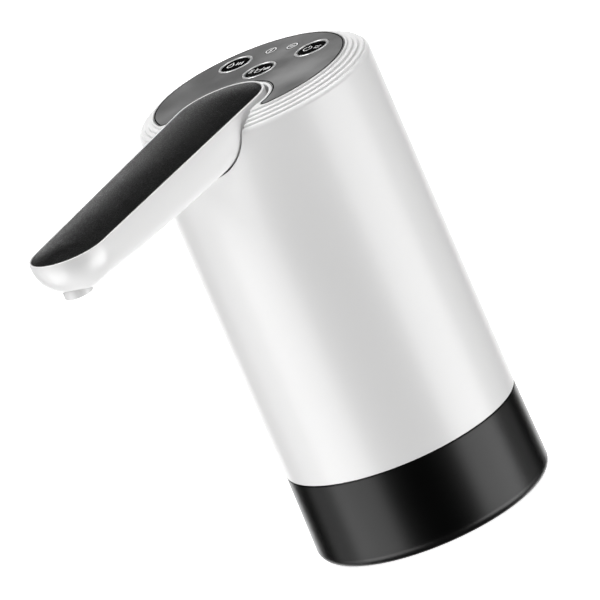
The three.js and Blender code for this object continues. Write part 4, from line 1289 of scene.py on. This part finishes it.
    def inner_form(self) -> Piece:
        """Liner of the slot and bosses of the pins, kept inside the wall, the shoulder and the steps.

        Returns:
            The form.
        """
        lay, cover = self.layout, self.step_cover
        inside = lay.body_radius - lay.body_wall / 2
        foot = lay.rim_radius + (self.step_count - 1) * self.step_run
        level = lay.panel_level - self.step_count * self.step_drop
        first = min(lay.deck_top, lay.panel_level - self.step_drop - cover)
        limit = [(0, lay.base_height), (inside, lay.base_height), (inside, level - self.shoulder_drop),
                 (foot - cover, level - cover), (lay.rim_radius - cover, first), (0, lay.deck_top)]
        bosses = lay.axle(self.cheek_radius, -lay.pin_end, lay.pin_end, 48)
        form = combine(self.slot_cutter(lay.seat_wall, 0), [bosses], Way.JOIN)
        return combine(form, [lathed("cutter", limit, 144)], Way.KEEP)

    def bowl(self) -> Piece:
        """Outside of the arm's seat under the deck.

        Returns:
            The bowl.
        """
        lay = self.layout
        radius = lay.seat_radius + lay.seat_wall
        top = lay.deck_top - lay.from_pivot()[2]
        ball = arc(0, 0, radius, -QUARTER_TURN, math.asin(top / radius), 40)
        return lathed("cutter", [(0, -radius), *ball[1:], (0, top)], 120, lay.from_pivot())

    def recess(self) -> Piece:
        """Cutter of the panel's recess, with a rounded upper edge.

        Returns:
            The cutter.
        """
        lay, edge = self.layout, self.recess_edge
        levels = [(0, lay.deck_top), *lip(edge, lay.panel_level, 5), (edge, lay.panel_level + THROUGH)]
        rings = [[(x, y, z) for x, y in self.panel_outline(lay.hair_gap + grow)] for grow, z in levels]
        return skinned("cutter", rings)

    def port_slot(self, inset: float, floor: float, end: float, name: str = "cutter") -> Piece:
        """A slot in the charging port's place.

        Args:
            inset: How far it lies inside the port's own outline.
            floor: Height of its floor over the port's own.
            end: How far it stands out of the port's mouth.
            name: Name of the piece.

        Returns:
            The slot.
        """
        mouth = self.layout.inner_radius - self.layout.fit_gap
        width, height = self.port_width - 2 * inset, self.port_height - 2 * inset
        level = self.layout.board_top + self.port_lift + self.port_height / 2
        return lying_slot(width, height, mouth - self.port_depth + floor, mouth + end, level, name)

    def charge_port(self) -> Piece:
        """The metal can of the charging port with its tongue.

        Returns:
            The port.
        """
        lay, wall, half = self.layout, self.port_wall, self.tongue_width / 2
        start = lay.inner_radius - lay.fit_gap - self.port_depth + self.port_floor - wall
        level = lay.board_top + self.port_lift + self.port_height / 2
        low, high = level - self.tongue_thickness / 2, level + self.tongue_thickness / 2
        tongue = block((-half, start, low), (half, start + self.tongue_length, high))
        can = self.port_slot(0, 0, 0, "charge_port_skin")
        combine(can, [self.port_slot(wall, self.port_floor, THROUGH)], Way.CUT)
        return smoothed(combine(can, [tongue], Way.JOIN))

    def build(self) -> None:
        """Builds and dresses the body."""
        lay = self.layout
        piece = combine(self.skin(), [self.bowl(), self.inner_form()], Way.JOIN)
        reach, low = lay.pin_end + THROUGH, lay.deck_under - THROUGH
        drop = [lay.from_pivot(z=-reach), lay.from_pivot()]
        wall = lay.body_wall + lay.fit_gap + THROUGH
        cutters = [
            self.recess(), self.seat(), self.slot_cutter(0, self.slot_flare),
            lay.axle(lay.pin_radius + lay.pin_gap, -reach, reach, 36),
            piped(drop, lay.hose_radius + 2 * lay.fit_gap, 48), self.port_slot(-self.port_gap, 0, wall),
        ]
        holes = ((lay.button_places, lay.button_radius, 64), (lay.lens_places, lay.lens_radius, 40))
        for places, radius, sides in holes:
            cutters += bores(places, radius + lay.hair_gap, low, lay.deck_top, self.hole_edge, sides)
        combine(piece, cutters, Way.CUT)
        dressed(smoothed(piece), Body.HOUSING, WHITE_SHELL, "body_shell")
        dressed(self.charge_port(), Body.HOUSING, STEEL, "charge_socket")


@dataclass
class ControlPanel:
    """Dark panel with three ringed buttons, two indicator windows and their printed marks."""

    layout: Layout
    shell: BodyShell
    edge: float = 0.22
    ring_hole_edge: float = 0.08
    lens_hole_edge: float = 0.06
    ring_rise: float = 0.15
    ring_edge: float = 0.32
    flange: float = 0.9
    flange_height: float = 1.2
    flange_edge: float = 0.1
    button_edge: float = 0.35
    lens_edge: float = 0.12
    lens_flange: float = 0.6
    lens_flange_height: float = 1.0
    lamp_height: float = 1.9
    ink: float = 0.03
    edge_shade_line: float = 0.35  # width of the black line round the panel's edge, painted shade for the dark gap at that edge
    thin: float = 0.3
    bold: float = 0.42
    drop_size: float = 1.05  # radius of the drop's round part, as the unit of the next three
    drop_neck: float = 0.45
    drop_shoulder: float = 1.15
    drop_tip: float = 2.1
    hoop_radius: float = 1.6
    power_radius: float = 1.35

    def plate(self) -> Piece:
        """The panel's plate with holes for the rings and windows.

        Returns:
            The plate.
        """
        lay, low = self.layout, self.layout.deck_top + self.layout.hair_gap
        levels = [(0, low), *lip(self.edge, lay.panel_level, 5)]
        rings = [[(x, y, z) for x, y in self.shell.panel_outline(-inset)] for inset, z in levels]
        radius, level = lay.ring_radius + lay.hair_gap, lay.panel_level
        cutters = bores(lay.button_places, radius, low - 1, level, self.ring_hole_edge, 96)
        radius = lay.lens_radius + lay.hair_gap
        cutters += bores(lay.lens_places, radius, low - 1, level, self.lens_hole_edge, 48)
        return smoothed(combine(skinned("control_panel_skin", rings), cutters, Way.CUT))

    def ring(self) -> list[Point]:
        """Profile of the bright ring round a button.

        Returns:
            The profile.
        """
        lay, edge = self.layout, self.ring_edge
        inner, outer = lay.ring_radius - lay.ring_width, lay.ring_radius
        low, high = lay.deck_top + lay.hair_gap, lay.panel_level + self.ring_rise
        return rounded([(inner, low, 0), (outer, low, 0), (outer, high, edge), (inner, high, edge)], 6)

    def button(self) -> list[Point]:
        """Profile of a button with its flange below the deck.

        Returns:
            The profile.
        """
        lay, edge = self.layout, self.flange_edge
        high, radius, top = lay.deck_under - lay.fit_gap, lay.button_radius, lay.panel_level
        low, wide = high - self.flange_height, radius + self.flange
        return rounded([(0, low, 0), (wide, low, edge), (wide, high, edge), (radius, high, 0),
                        (radius, top, self.button_edge), (0, top, 0)], 6)

    def window(self) -> list[Point]:
        """Profile of an indicator window with its flange below the deck.

        Returns:
            The profile.
        """
        lay, edge = self.layout, self.flange_edge
        high, radius, top = lay.deck_under - lay.fit_gap, lay.lens_radius, lay.panel_level
        foot, low = lay.board_top + self.lamp_height + lay.fit_gap, high - self.lens_flange_height
        wide = radius + self.lens_flange
        return rounded([(0, foot, 0), (radius, foot, edge), (radius, low, 0), (wide, low, edge),
                        (wide, high, edge), (radius, high, 0), (radius, top, self.lens_edge), (0, top, 0)], 4)

    def printed(self, name: str, x: float, y: float, strokes: Sequence[Stroke]) -> Piece:
        """Printed lines on a flat face at the panel's level; the black line of painted shade round the panel
        is drawn the same way.

        Args:
            name: Name of the piece.
            x: Middle of the mark.
            y: Middle of the mark.
            strokes: The lines.

        Returns:
            The mark as one thin piece.
        """
        low, high = self.layout.panel_level - self.ink / 2, self.layout.panel_level + self.ink
        points: list[Place] = []
        faces: list[list[int]] = []
        for line, closed, width in strokes:
            count = len(line)
            faces += ring_faces(4, count, closed, len(points))
            for i, (px, py) in enumerate(line):
                before = line[i - 1] if closed or i else line[0]
                after = line[(i + 1) % count] if closed or i < count - 1 else line[-1]
                ahead = Vector((after[0] - before[0], after[1] - before[1])).normalized()
                aside = Vector((-ahead.y, ahead.x)) * (width / 2)
                for sign, levels in ((1, (low, high)), (-1, (high, low))):
                    points += [(x + px + aside.x * sign, y + py + aside.y * sign, z) for z in levels]
        return new_piece(name, points, faces)

    def drop(self, x: float, y: float) -> list[Point]:
        """Outline of a water drop.

        Args:
            x: Middle of its round part.
            y: Middle of its round part.

        Returns:
            The outline.
        """
        size = self.drop_size
        side, shoulder, tip = size * self.drop_neck, y + size * self.drop_shoulder, y + size * self.drop_tip
        round_part = arc(x, y, size, HALF_TURN * 0.86, HALF_TURN * 2.14, 28)
        return [*round_part, (x + side, shoulder), (x, tip), (x - side, shoulder)]

    def marks(self) -> dict[str, list[Stroke]]:
        """Plain marks: a drop with bars, a filling cup, a power sign with ripples, a flash and a cell.

        Returns:
            The strokes of each mark, those of the buttons first and then those of the windows.
        """
        thin, bold = self.thin, self.bold
        bars = [([(x, -0.9), (x, 0.9)], False, bold) for x in (0.6, 1.5, 2.4)]
        cup = [(-1.2, 1.5), (-0.85, -1.5), (0.85, -1.5), (1.2, 1.5)]
        dashes = [([(2.1 + 0.65 * i, -0.9 + 0.1 * i), (2.1 + 0.65 * i, 0.5 + 0.3 * i)], False, bold)
                  for i in range(3)]
        levels = [([(-3.3, y), (-2.1, y)], False, 0.4) for y in (-0.9, 0, 0.9)]
        power = arc(-1.4, 0, self.power_radius, HALF_TURN * 0.66, HALF_TURN * 2.34, 30)
        ripples = [([(1.0 + 0.35 * i, y + 0.25 * math.sin(i * 1.25)) for i in range(7)], False, thin)
                   for y in (-0.7, 0.45)]
        hoop = arc(0, 0, self.hoop_radius, 0, FULL_TURN, 40)[:-1]
        flash = [(0.35, 1.05), (-0.45, -0.05), (0.4, 0.05), (-0.35, -1.05)]
        cell = [(-0.75, -0.4), (0.75, -0.4), (0.75, 0.4), (-0.75, 0.4)]
        return {
            "left": [(self.drop(-1.5, -0.6), True, thin), *bars],
            "front": [(cup, False, thin), ([(-0.95, 0.2), (0.95, 0.2)], False, thin), *dashes, *levels],
            "right": [(power, False, thin), ([(-1.4, 0.5), (-1.4, 1.8)], False, thin), *ripples],
            "lamp_left": [(hoop, True, bold), (flash, False, 0.46)],
            "lamp_right": [(hoop, True, bold), (cell, True, 0.36)],
        }

    def build(self) -> None:
        """Builds and dresses the panel and what it carries."""
        lay = self.layout
        dressed(self.plate(), Body.HOUSING, PANEL_GLOSS_AND_PAINTED_SHEEN, "control_panel")
        buttons = (Body.LEFT_BUTTON, Body.FRONT_BUTTON, Body.RIGHT_BUTTON)
        for side, body, (x, y) in zip(("left", "front", "right"), buttons, lay.button_places):
            parts = ((f"button_ring_{side}", self.ring(), Body.HOUSING, BRIGHT_RING),
                     (f"button_{side}", self.button(), body, BUTTON_GLOSS))
            for node, profile, rides_on, finish in parts:
                piece = smoothed(lathed(node + "_skin", profile, 96, (x, y, 0)))
                dressed(piece, rides_on, finish, node)
        for side, (x, y) in zip(("left", "right"), lay.lens_places):
            piece = smoothed(lathed(f"indicator_{side}_skin", self.window(), 64, (x, y, 0)))
            dressed(piece, Body.HOUSING, SMOKED_LENS, f"indicator_{side}")
        carriers, places = (*buttons, Body.HOUSING, Body.HOUSING), lay.button_places + lay.lens_places
        for (mark, strokes), body, (x, y) in zip(self.marks().items(), carriers, places):
            dressed(self.printed(f"mark_{mark}", x, y, strokes), body, MARK_INK, slot="grey_plastic")
        # The black line round the panel's edge is painted shade: it stands for the dark gap between the panel
        # and its rim.
        edge_shade_line = [(self.shell.panel_outline(-self.edge - self.edge_shade_line / 2), True, self.edge_shade_line)]
        dressed(self.printed("panel_edge_shade_line", 0, 0, edge_shade_line), Body.HOUSING, BUTTON_GLOSS, slot="panel_gloss")


@dataclass
class FoldingArm:
    """The arm: white hollow shell, grained inlay, nozzle, hose and pivot pins."""

    layout: Layout
    wall: float = 1.8
    inlay_margin: float = 0.84
    inlay_thickness: float = 1.4
    rim_edge: float = 0.32
    recess_edge: float = 0.12
    inlay_edge: float = 0.4
    inlay_crown: float = 1.3
    crown_steps: int = 22
    hub_radius: float = 2.8
    hub_length: float = 3.0
    hub_inset: float = 1.65
    pin_length: float = 9.5
    nozzle_radius: float = 4.4
    nozzle_offset: float = 4.25
    nozzle_drop: float = 0.3
    nozzle_mouth: float = 3.3
    nozzle_mouth_depth: float = 1.1
    nozzle_shoulder: float = 2.75
    nozzle_spigot: float = 1.9
    nozzle_edge: float = 0.2
    nozzle_rim_edge: float = 0.35
    mouth_floor_edge: float = 0.3
    spigot_root: float = 1.6
    spigot_ridge: float = 1.85
    spigot_ridge_drop: float = 0.25
    spigot_bore: float = 1.0
    ball_radius: float = 2.95
    hose_turn: float = 4.6
    end_steps: int = 72
    side_steps: int = 30
    hull_steps: int = 26

    def outline(self, inset: float, shrink: float = 1) -> list[Corner]:
        """Outline of the arm from above.

        Args:
            inset: How far the outline lies inside the full one.
            shrink: Share by which the sides are drawn in towards the middle line.

        Returns:
            Points with their share of the way to the tip.
        """
        lay = self.layout
        root, tip = lay.root_radius - inset, lay.tip_radius - inset
        lean = math.asin((root - tip) / lay.arm_span)
        root_arc = arc(0, 0, root * shrink, -lean, HALF_TURN + lean, self.end_steps)
        tip_arc = arc(0, -lay.arm_span, tip * shrink, HALF_TURN + lean, FULL_TURN - lean, self.end_steps)

        def side(start: Point, end: Point, forward: bool) -> list[Corner]:
            """Points of a straight side with their shares of the way to the tip."""
            shares = [(i + 1) / (self.side_steps + 1) for i in range(self.side_steps)]
            return [(start[0] + (end[0] - start[0]) * s, start[1] + (end[1] - start[1]) * s,
                     s if forward else 1 - s) for s in shares]

        return [
            *[(x, y, 0) for x, y in root_arc], *side(root_arc[-1], tip_arc[0], True),
            *[(x, y, 1) for x, y in tip_arc], *side(tip_arc[-1], root_arc[0], False),
        ]

    def level_ring(self, inset: float, z: float, shrink: float = 1) -> list[Place]:
        """A flat ring at a height above the pivot."""
        return [self.layout.from_pivot(x, y, z) for x, y, _ in self.outline(inset, shrink)]

    def hull_rings(self, inset: float, steps: int) -> list[list[Place]]:
        """Rings of the round underside, from the keel up to the straight sides.

        Args:
            inset: How far the rings lie inside the outer ones.
            steps: Number of steps between the rings.

        Returns:
            The rings.
        """
        lay, rings = self.layout, []
        for step in range(steps + 1):
            angle = QUARTER_TURN * (1 - step / steps)
            ring = []
            for x, y, share in self.outline(inset, math.cos(angle) if step else 0):
                depth = lay.section_depth(lay.root_depth - inset, lay.tip_depth - inset, share)
                ring.append(lay.from_pivot(x, y, lay.section_level - depth * math.sin(angle)))
            rings.append(ring)
        return rings

    def shell(self) -> Piece:
        """The hollow white shell.

        Returns:
            The shell.
        """
        lay, top = self.layout, self.layout.arm_top
        seat, ledge = self.inlay_margin - lay.hair_gap, top - self.inlay_thickness
        rim = [self.level_ring(inset, z) for inset, z in lip(self.rim_edge, top, 6)]
        recess = [self.level_ring(seat - inset, z) for inset, z in lip(self.recess_edge, top, 4)[::-1]]
        hollow = self.hull_rings(self.wall, self.hull_steps // 2)[::-1]
        ledges = [self.level_ring(seat, ledge), self.level_ring(self.wall, ledge)]
        rings = [*self.hull_rings(0, self.hull_steps), *rim, *recess, *ledges, *hollow]
        piece = skinned("arm_shell_skin", rings)
        end = lay.root_radius - self.hub_inset
        hubs = [lay.axle(self.hub_radius, s * (end - self.hub_length), s * end, 48) for s in (1, -1)]
        combine(piece, hubs, Way.JOIN)
        half, reach = lay.hose_radius + lay.fit_gap, lay.root_radius + THROUGH
        y = -lay.arm_span - self.nozzle_offset
        drop = [lay.from_pivot(0, y, -lay.root_depth - THROUGH), lay.from_pivot(0, y)]
        cutters = [
            lay.axle(lay.pin_radius + lay.pin_gap, -reach, reach, 36),
            block(lay.from_pivot(-half, -half, -reach), lay.from_pivot(half, reach)),
            block(lay.from_pivot(-half, 0, -half), lay.from_pivot(half, reach, half)),
            piped(drop, self.nozzle_radius + lay.hair_gap, 72),
        ]
        return smoothed(combine(piece, cutters, Way.CUT))

    def inlay(self) -> Piece:
        """The grained inlay with its soft edge and low crown.

        Returns:
            The inlay.
        """
        lay, top, margin = self.layout, self.layout.arm_top, self.inlay_margin
        rings = [self.level_ring(margin, top - self.inlay_thickness + lay.hair_gap)]
        rings += [self.level_ring(margin + inset, z) for inset, z in lip(self.inlay_edge, top, 7)]
        for step in range(1, self.crown_steps + 1):
            share = 1 - step / self.crown_steps
            rise = self.inlay_crown * (1 - share * share)
            rings.append(self.level_ring(margin + self.inlay_edge, top + rise, share))
        return smoothed(skinned("arm_inlay_skin", rings))

    def nozzle_level(self) -> float:
        """Underside of the arm below its pivot where the nozzle comes through."""
        lay, share = self.layout, self.nozzle_offset / self.layout.tip_radius
        return lay.section_level - lay.tip_depth * math.sqrt(1 - share * share)

    def nozzle(self) -> Piece:
        """The round nozzle.

        Returns:
            The nozzle.
        """
        low, shoulder = self.nozzle_level() - self.nozzle_drop, self.nozzle_level() + self.nozzle_shoulder
        tall, floor = shoulder + self.nozzle_spigot, low + self.nozzle_mouth_depth
        mouth, radius, edge = self.nozzle_mouth, self.nozzle_radius, self.nozzle_edge
        corners = [
            (mouth, low, edge), (radius, low, self.nozzle_rim_edge), (radius, shoulder, edge),
            (self.spigot_ridge, shoulder, 0), (self.spigot_ridge, tall - self.spigot_ridge_drop, 0.1),
            (self.spigot_root, tall, 0), (self.spigot_bore, tall, 0),
            (self.spigot_bore, floor, self.mouth_floor_edge), (mouth, floor, edge),
        ]
        place = self.layout.from_pivot(0, -self.layout.arm_span - self.nozzle_offset)
        return smoothed(lathed("nozzle_skin", rounded(corners, 6), 80, place))

    def hose(self) -> Piece:
        """The hose from the ball over the riser's end to the nozzle.

        Returns:
            The hose.
        """
        lay, turn = self.layout, self.hose_turn
        y, low = -lay.arm_span - self.nozzle_offset, self.nozzle_level() + self.nozzle_shoulder + lay.fit_gap
        bend = arc(y + turn, -turn, turn, QUARTER_TURN, HALF_TURN, 14)

        def route(end: float) -> list[Place]:
            """Middle line of the hose down to a height."""
            return [lay.from_pivot(0, along, up) for along, up in [(0, 0), *bend, (y, end)]]

        piece = piped(route(low), lay.hose_radius, 32, name="arm_hose_skin")
        ball = arc(0, 0, self.ball_radius, -QUARTER_TURN, QUARTER_TURN, 24)
        ball[0], ball[-1] = (0, -self.ball_radius), (0, self.ball_radius)
        combine(piece, [lathed("cutter", ball, 48, lay.from_pivot())], Way.JOIN)
        drop = [lay.from_pivot(z=-2 * self.ball_radius), lay.from_pivot()]
        cutters = [piped(route(low - THROUGH), lay.hose_bore, 32), piped(drop, lay.hose_bore, 32)]
        return smoothed(combine(piece, cutters, Way.CUT))

    def build(self) -> None:
        """Builds and dresses the arm."""
        lay = self.layout
        dressed(self.shell(), Body.ARM, WHITE_SHELL, "arm_shell")
        dressed(self.inlay(), Body.ARM, BLACK_LEATHER, "arm_inlay")
        dressed(self.nozzle(), Body.ARM, WHITE_SHELL, "nozzle")
        dressed(self.hose(), Body.ARM, SILICONE, "arm_hose")
        for side, sign in (("right", 1), ("left", -1)):
            start, end = sign * (lay.pin_end - self.pin_length), sign * lay.pin_end
            pin = smoothed(lay.axle(lay.pin_radius, start, end, 36, f"hinge_pin_{side}_skin"))
            dressed(pin, Body.HOUSING, STEEL, f"hinge_pin_{side}")


@dataclass
class InnerLines:
    """Hoses and leads inside the body, along the same stops as their solids."""

    layout: Layout
    lead_radius: float = 0.9
    suction: tuple[Place, ...] = (
        (0, -4.5, 27.7), (0, -11.7, 27.7), (0, -19.7, 31.4), (0, -25, 39.4), (0, -25, 65), (0, -25, 81.6),
        (0, -19.7, 94), (4.6, -8.5, 106.5), (8, 0, 106.5), (8, 2, 99.6), (8, 2, 95.6), (8, 2, 89.9),
    )
    riser: tuple[Place, ...] = (
        (18, 2, 89.9), (18, 2, 95.6), (18, 2, 99.6), (15, 0, 107), (7.5, -11.2, 111), (0, -18.7, 117.5),
        (0, -18.7, 121.53), (0, -18.7, 135.45),
    )
    motor_lead: tuple[Place, ...] = (
        (13, 15.4, 40.3), (13, 18.1, 56), (13, 18.1, 89.6), (8, 15.4, 121), (8, 15.4, 130.95),
    )
    cell_lead: tuple[Place, ...] = (
        (-14.5, 2, 99.8), (-14.5, 2, 107.5), (-14.5, 12, 121), (-14.5, 12, 130.95),
    )

    def build(self) -> None:
        """Builds and dresses the hoses and leads."""
        lay = self.layout
        for name, stops in (("suction_hose", self.suction), ("riser_hose", self.riser)):
            hose = piped(smooth_route(stops, 8), lay.hose_radius, 28, lay.hose_bore, name + "_skin")
            dressed(smoothed(hose), Body.HOUSING, SILICONE, name)
        for name, stops in (("motor_lead", self.motor_lead), ("cell_lead", self.cell_lead)):
            lead = piped(smooth_route(stops, 10), self.lead_radius, 20, name=name + "_skin")
            dressed(smoothed(lead), Body.HOUSING, LEAD_RED, name)


@dataclass
class HiddenParts:
    """Solids inside the body that keep their shape and get their finishes."""

    finishes: tuple[tuple[Finish, tuple[str, ...]], ...] = (
        (BLACK_RUBBER, ("base_gasket", "diaphragm")),
        (GREY_PLASTIC, ("inlet_elbow", "chassis", "clamp_plate", "crank_wheel")),
        (BLACK_PLASTIC, ("pump_frame", "pump_head", "switch_left", "switch_front", "switch_right")),
        (STEEL, ("motor", "clamp_screw_1", "clamp_screw_2", *(f"board_screw_{i + 1}" for i in range(4)))),
        (CELL_WRAP, ("battery_cell",)),
        (BOARD_GREEN, ("circuit_board",)),
        (SILICONE, ("led_left", "led_right")),
    )

    def build(self) -> None:
        """Gives each solid its finish."""
        for finish, names in self.finishes:
            for name in names:
                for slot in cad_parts[name].material_slots:
                    slot.material = finish.material()
                log.info("%s keeps its solid, finish %s", name, finish.name)


@dataclass
class PhotoCamera:
    """Camera at the photograph's viewing angle."""

    azimuth: float = VIEW_AZIMUTH
    elevation: float = 16.597
    distance: float = 4608.0
    target_height: float = 70.0
    yaw: float = -0.147
    pitch: float = 0.059
    roll: float = -23.480
    focal_pixels: float = 15894.0
    frame_pixels: float = 600.0
    sensor: float = 36.0
    clip: tuple[float, float] = (0.1, 60)  # metres

    def build(self) -> None:
        """Makes the camera, placed by turns that are each followed by a shift along z, and hands it over."""
        steps = (("Z", self.azimuth, self.target_height), ("X", 90 - self.elevation, self.distance),
                 ("Y", -self.yaw, 0), ("X", self.pitch, 0), ("Z", self.roll, 0))
        matrix = Matrix()
        for axis, angle, rise in steps:
            matrix = matrix @ Matrix.Rotation(math.radians(angle), 4, axis)
            matrix = matrix @ Matrix.Translation((0, 0, rise * MM))
        data = bpy.data.cameras.new("photo_camera")
        data.sensor_width = self.sensor
        data.lens = self.focal_pixels * self.sensor / self.frame_pixels
        data.clip_start, data.clip_end = self.clip
        camera = bpy.data.objects.new("photo_camera", data)
        camera.matrix_world = matrix
        bpy.context.scene.collection.objects.link(camera)
        bpy.context.scene.camera = camera


@dataclass(frozen=True)
class SoftBox:
    """One soft box: angles aside from the camera and above the horizon, size in metres, power in watts.

    A box that isn't mirrored only lights the object, as a lamp behind a polariser does.
    """

    name: str
    aside: float
    elevation: float
    width: float
    height: float
    power: float
    mirrored: bool = True


@dataclass
class Studio:
    """Pale floor and soft light from all round, strongest at both sides of the camera."""

    floor_reach: float = 14.0  # metres, as the distance and the target of the boxes
    distance: float = 2.2
    target: Place = (0, 0, 0.07)
    surround: float = 1.0
    boxes: tuple[SoftBox, ...] = (
        SoftBox("left_low_box", -64, -30, 2.0, 1.4, 35),
        SoftBox("left_side_low_box", -104, -30, 1.2, 1.4, 5),
        SoftBox("right_low_box", 67, -30, 2.0, 1.4, 43),
        SoftBox("right_side_low_box", 106, -30, 1.2, 1.4, 3),
        SoftBox("left_under_box", -68, -64, 1.4, 1.2, 24, mirrored=False),
        SoftBox("right_under_box", 72, -64, 1.4, 1.2, 5, mirrored=False),
        SoftBox("left_high_box", -90, 56, 1.4, 1.0, 26),
        SoftBox("right_high_box", 90, 56, 1.4, 1.0, 15),
        SoftBox("front_box", 0, 46, 1.2, 1.1, 18, mirrored=False),
        SoftBox("back_low_box", 180, -30, 2.2, 1.4, 23),
        SoftBox("back_level_box", 180, -1, 2.2, 0.8, 13),
        SoftBox("top_box", 180, 78, 1.4, 1.4, 18, mirrored=False),
        SoftBox("bounce_box", 0, -88, 2.0, 2.0, 1, mirrored=False),
    )

    def soft_box(self, box: SoftBox) -> None:
        """Makes a soft box that faces the object.

        Args:
            box: What the soft box is.
        """
        turn, rise = math.radians(VIEW_AZIMUTH - 90 + box.aside), math.radians(box.elevation)
        aside = Vector((math.cos(turn) * math.cos(rise), math.sin(turn) * math.cos(rise), math.sin(rise)))
        data = bpy.data.lights.new(box.name, "AREA")
        data.shape = "RECTANGLE"
        data.size, data.size_y = box.width, box.height
        data.energy = box.power
        light = bpy.data.objects.new(box.name, data)
        light.location = aside * self.distance
        light.rotation_euler = (Vector(self.target) - light.location).to_track_quat("-Z", "Y").to_euler()
        light.visible_glossy = box.mirrored
        bpy.context.scene.collection.objects.link(light)

    def floor(self) -> None:
        """The floor, which light passes and gloss doesn't mirror, so that the boxes can reach below it."""
        half = self.floor_reach / MM
        corners = [(-half, -half, 0), (half, -half, 0), (half, half, 0), (-half, half, 0)]
        piece = new_piece("floor", corners, [[0, 1, 2, 3]])
        if piece.data.polygons[0].normal.z < 0:
            piece.data.flip_normals()
        piece.data.materials.append(FLOOR.material())
        piece.visible_glossy = False
        piece.visible_diffuse = False
        piece.visible_shadow = False

    def build(self) -> None:
        """Builds the floor, the lights and the surround."""
        self.floor()
        for box in self.boxes:
            self.soft_box(box)
        world = bpy.data.worlds.new("surround")
        world.use_nodes = True
        shade = world.node_tree.nodes["Background"]
        shade.inputs["Color"].default_value = grey(1)
        shade.inputs["Strength"].default_value = self.surround
        world.cycles_visibility.glossy = False
        world.cycles_visibility.diffuse = False
        bpy.context.scene.world = world
        bpy.context.scene.view_settings.view_transform = "Standard"


def main() -> None:
    """Builds the scene in order."""
    logging.basicConfig(level=logging.INFO, format="%(name)s: %(message)s")
    PhotoCamera().build()
    Studio().build()
    layout = Layout()
    shell = BodyShell(layout)
    BaseSocket(layout).build()
    shell.build()
    ControlPanel(layout, shell).build()
    FoldingArm(layout).build()
    InnerLines(layout).build()
    HiddenParts().build()


if __name__ == "__main__":
    main()
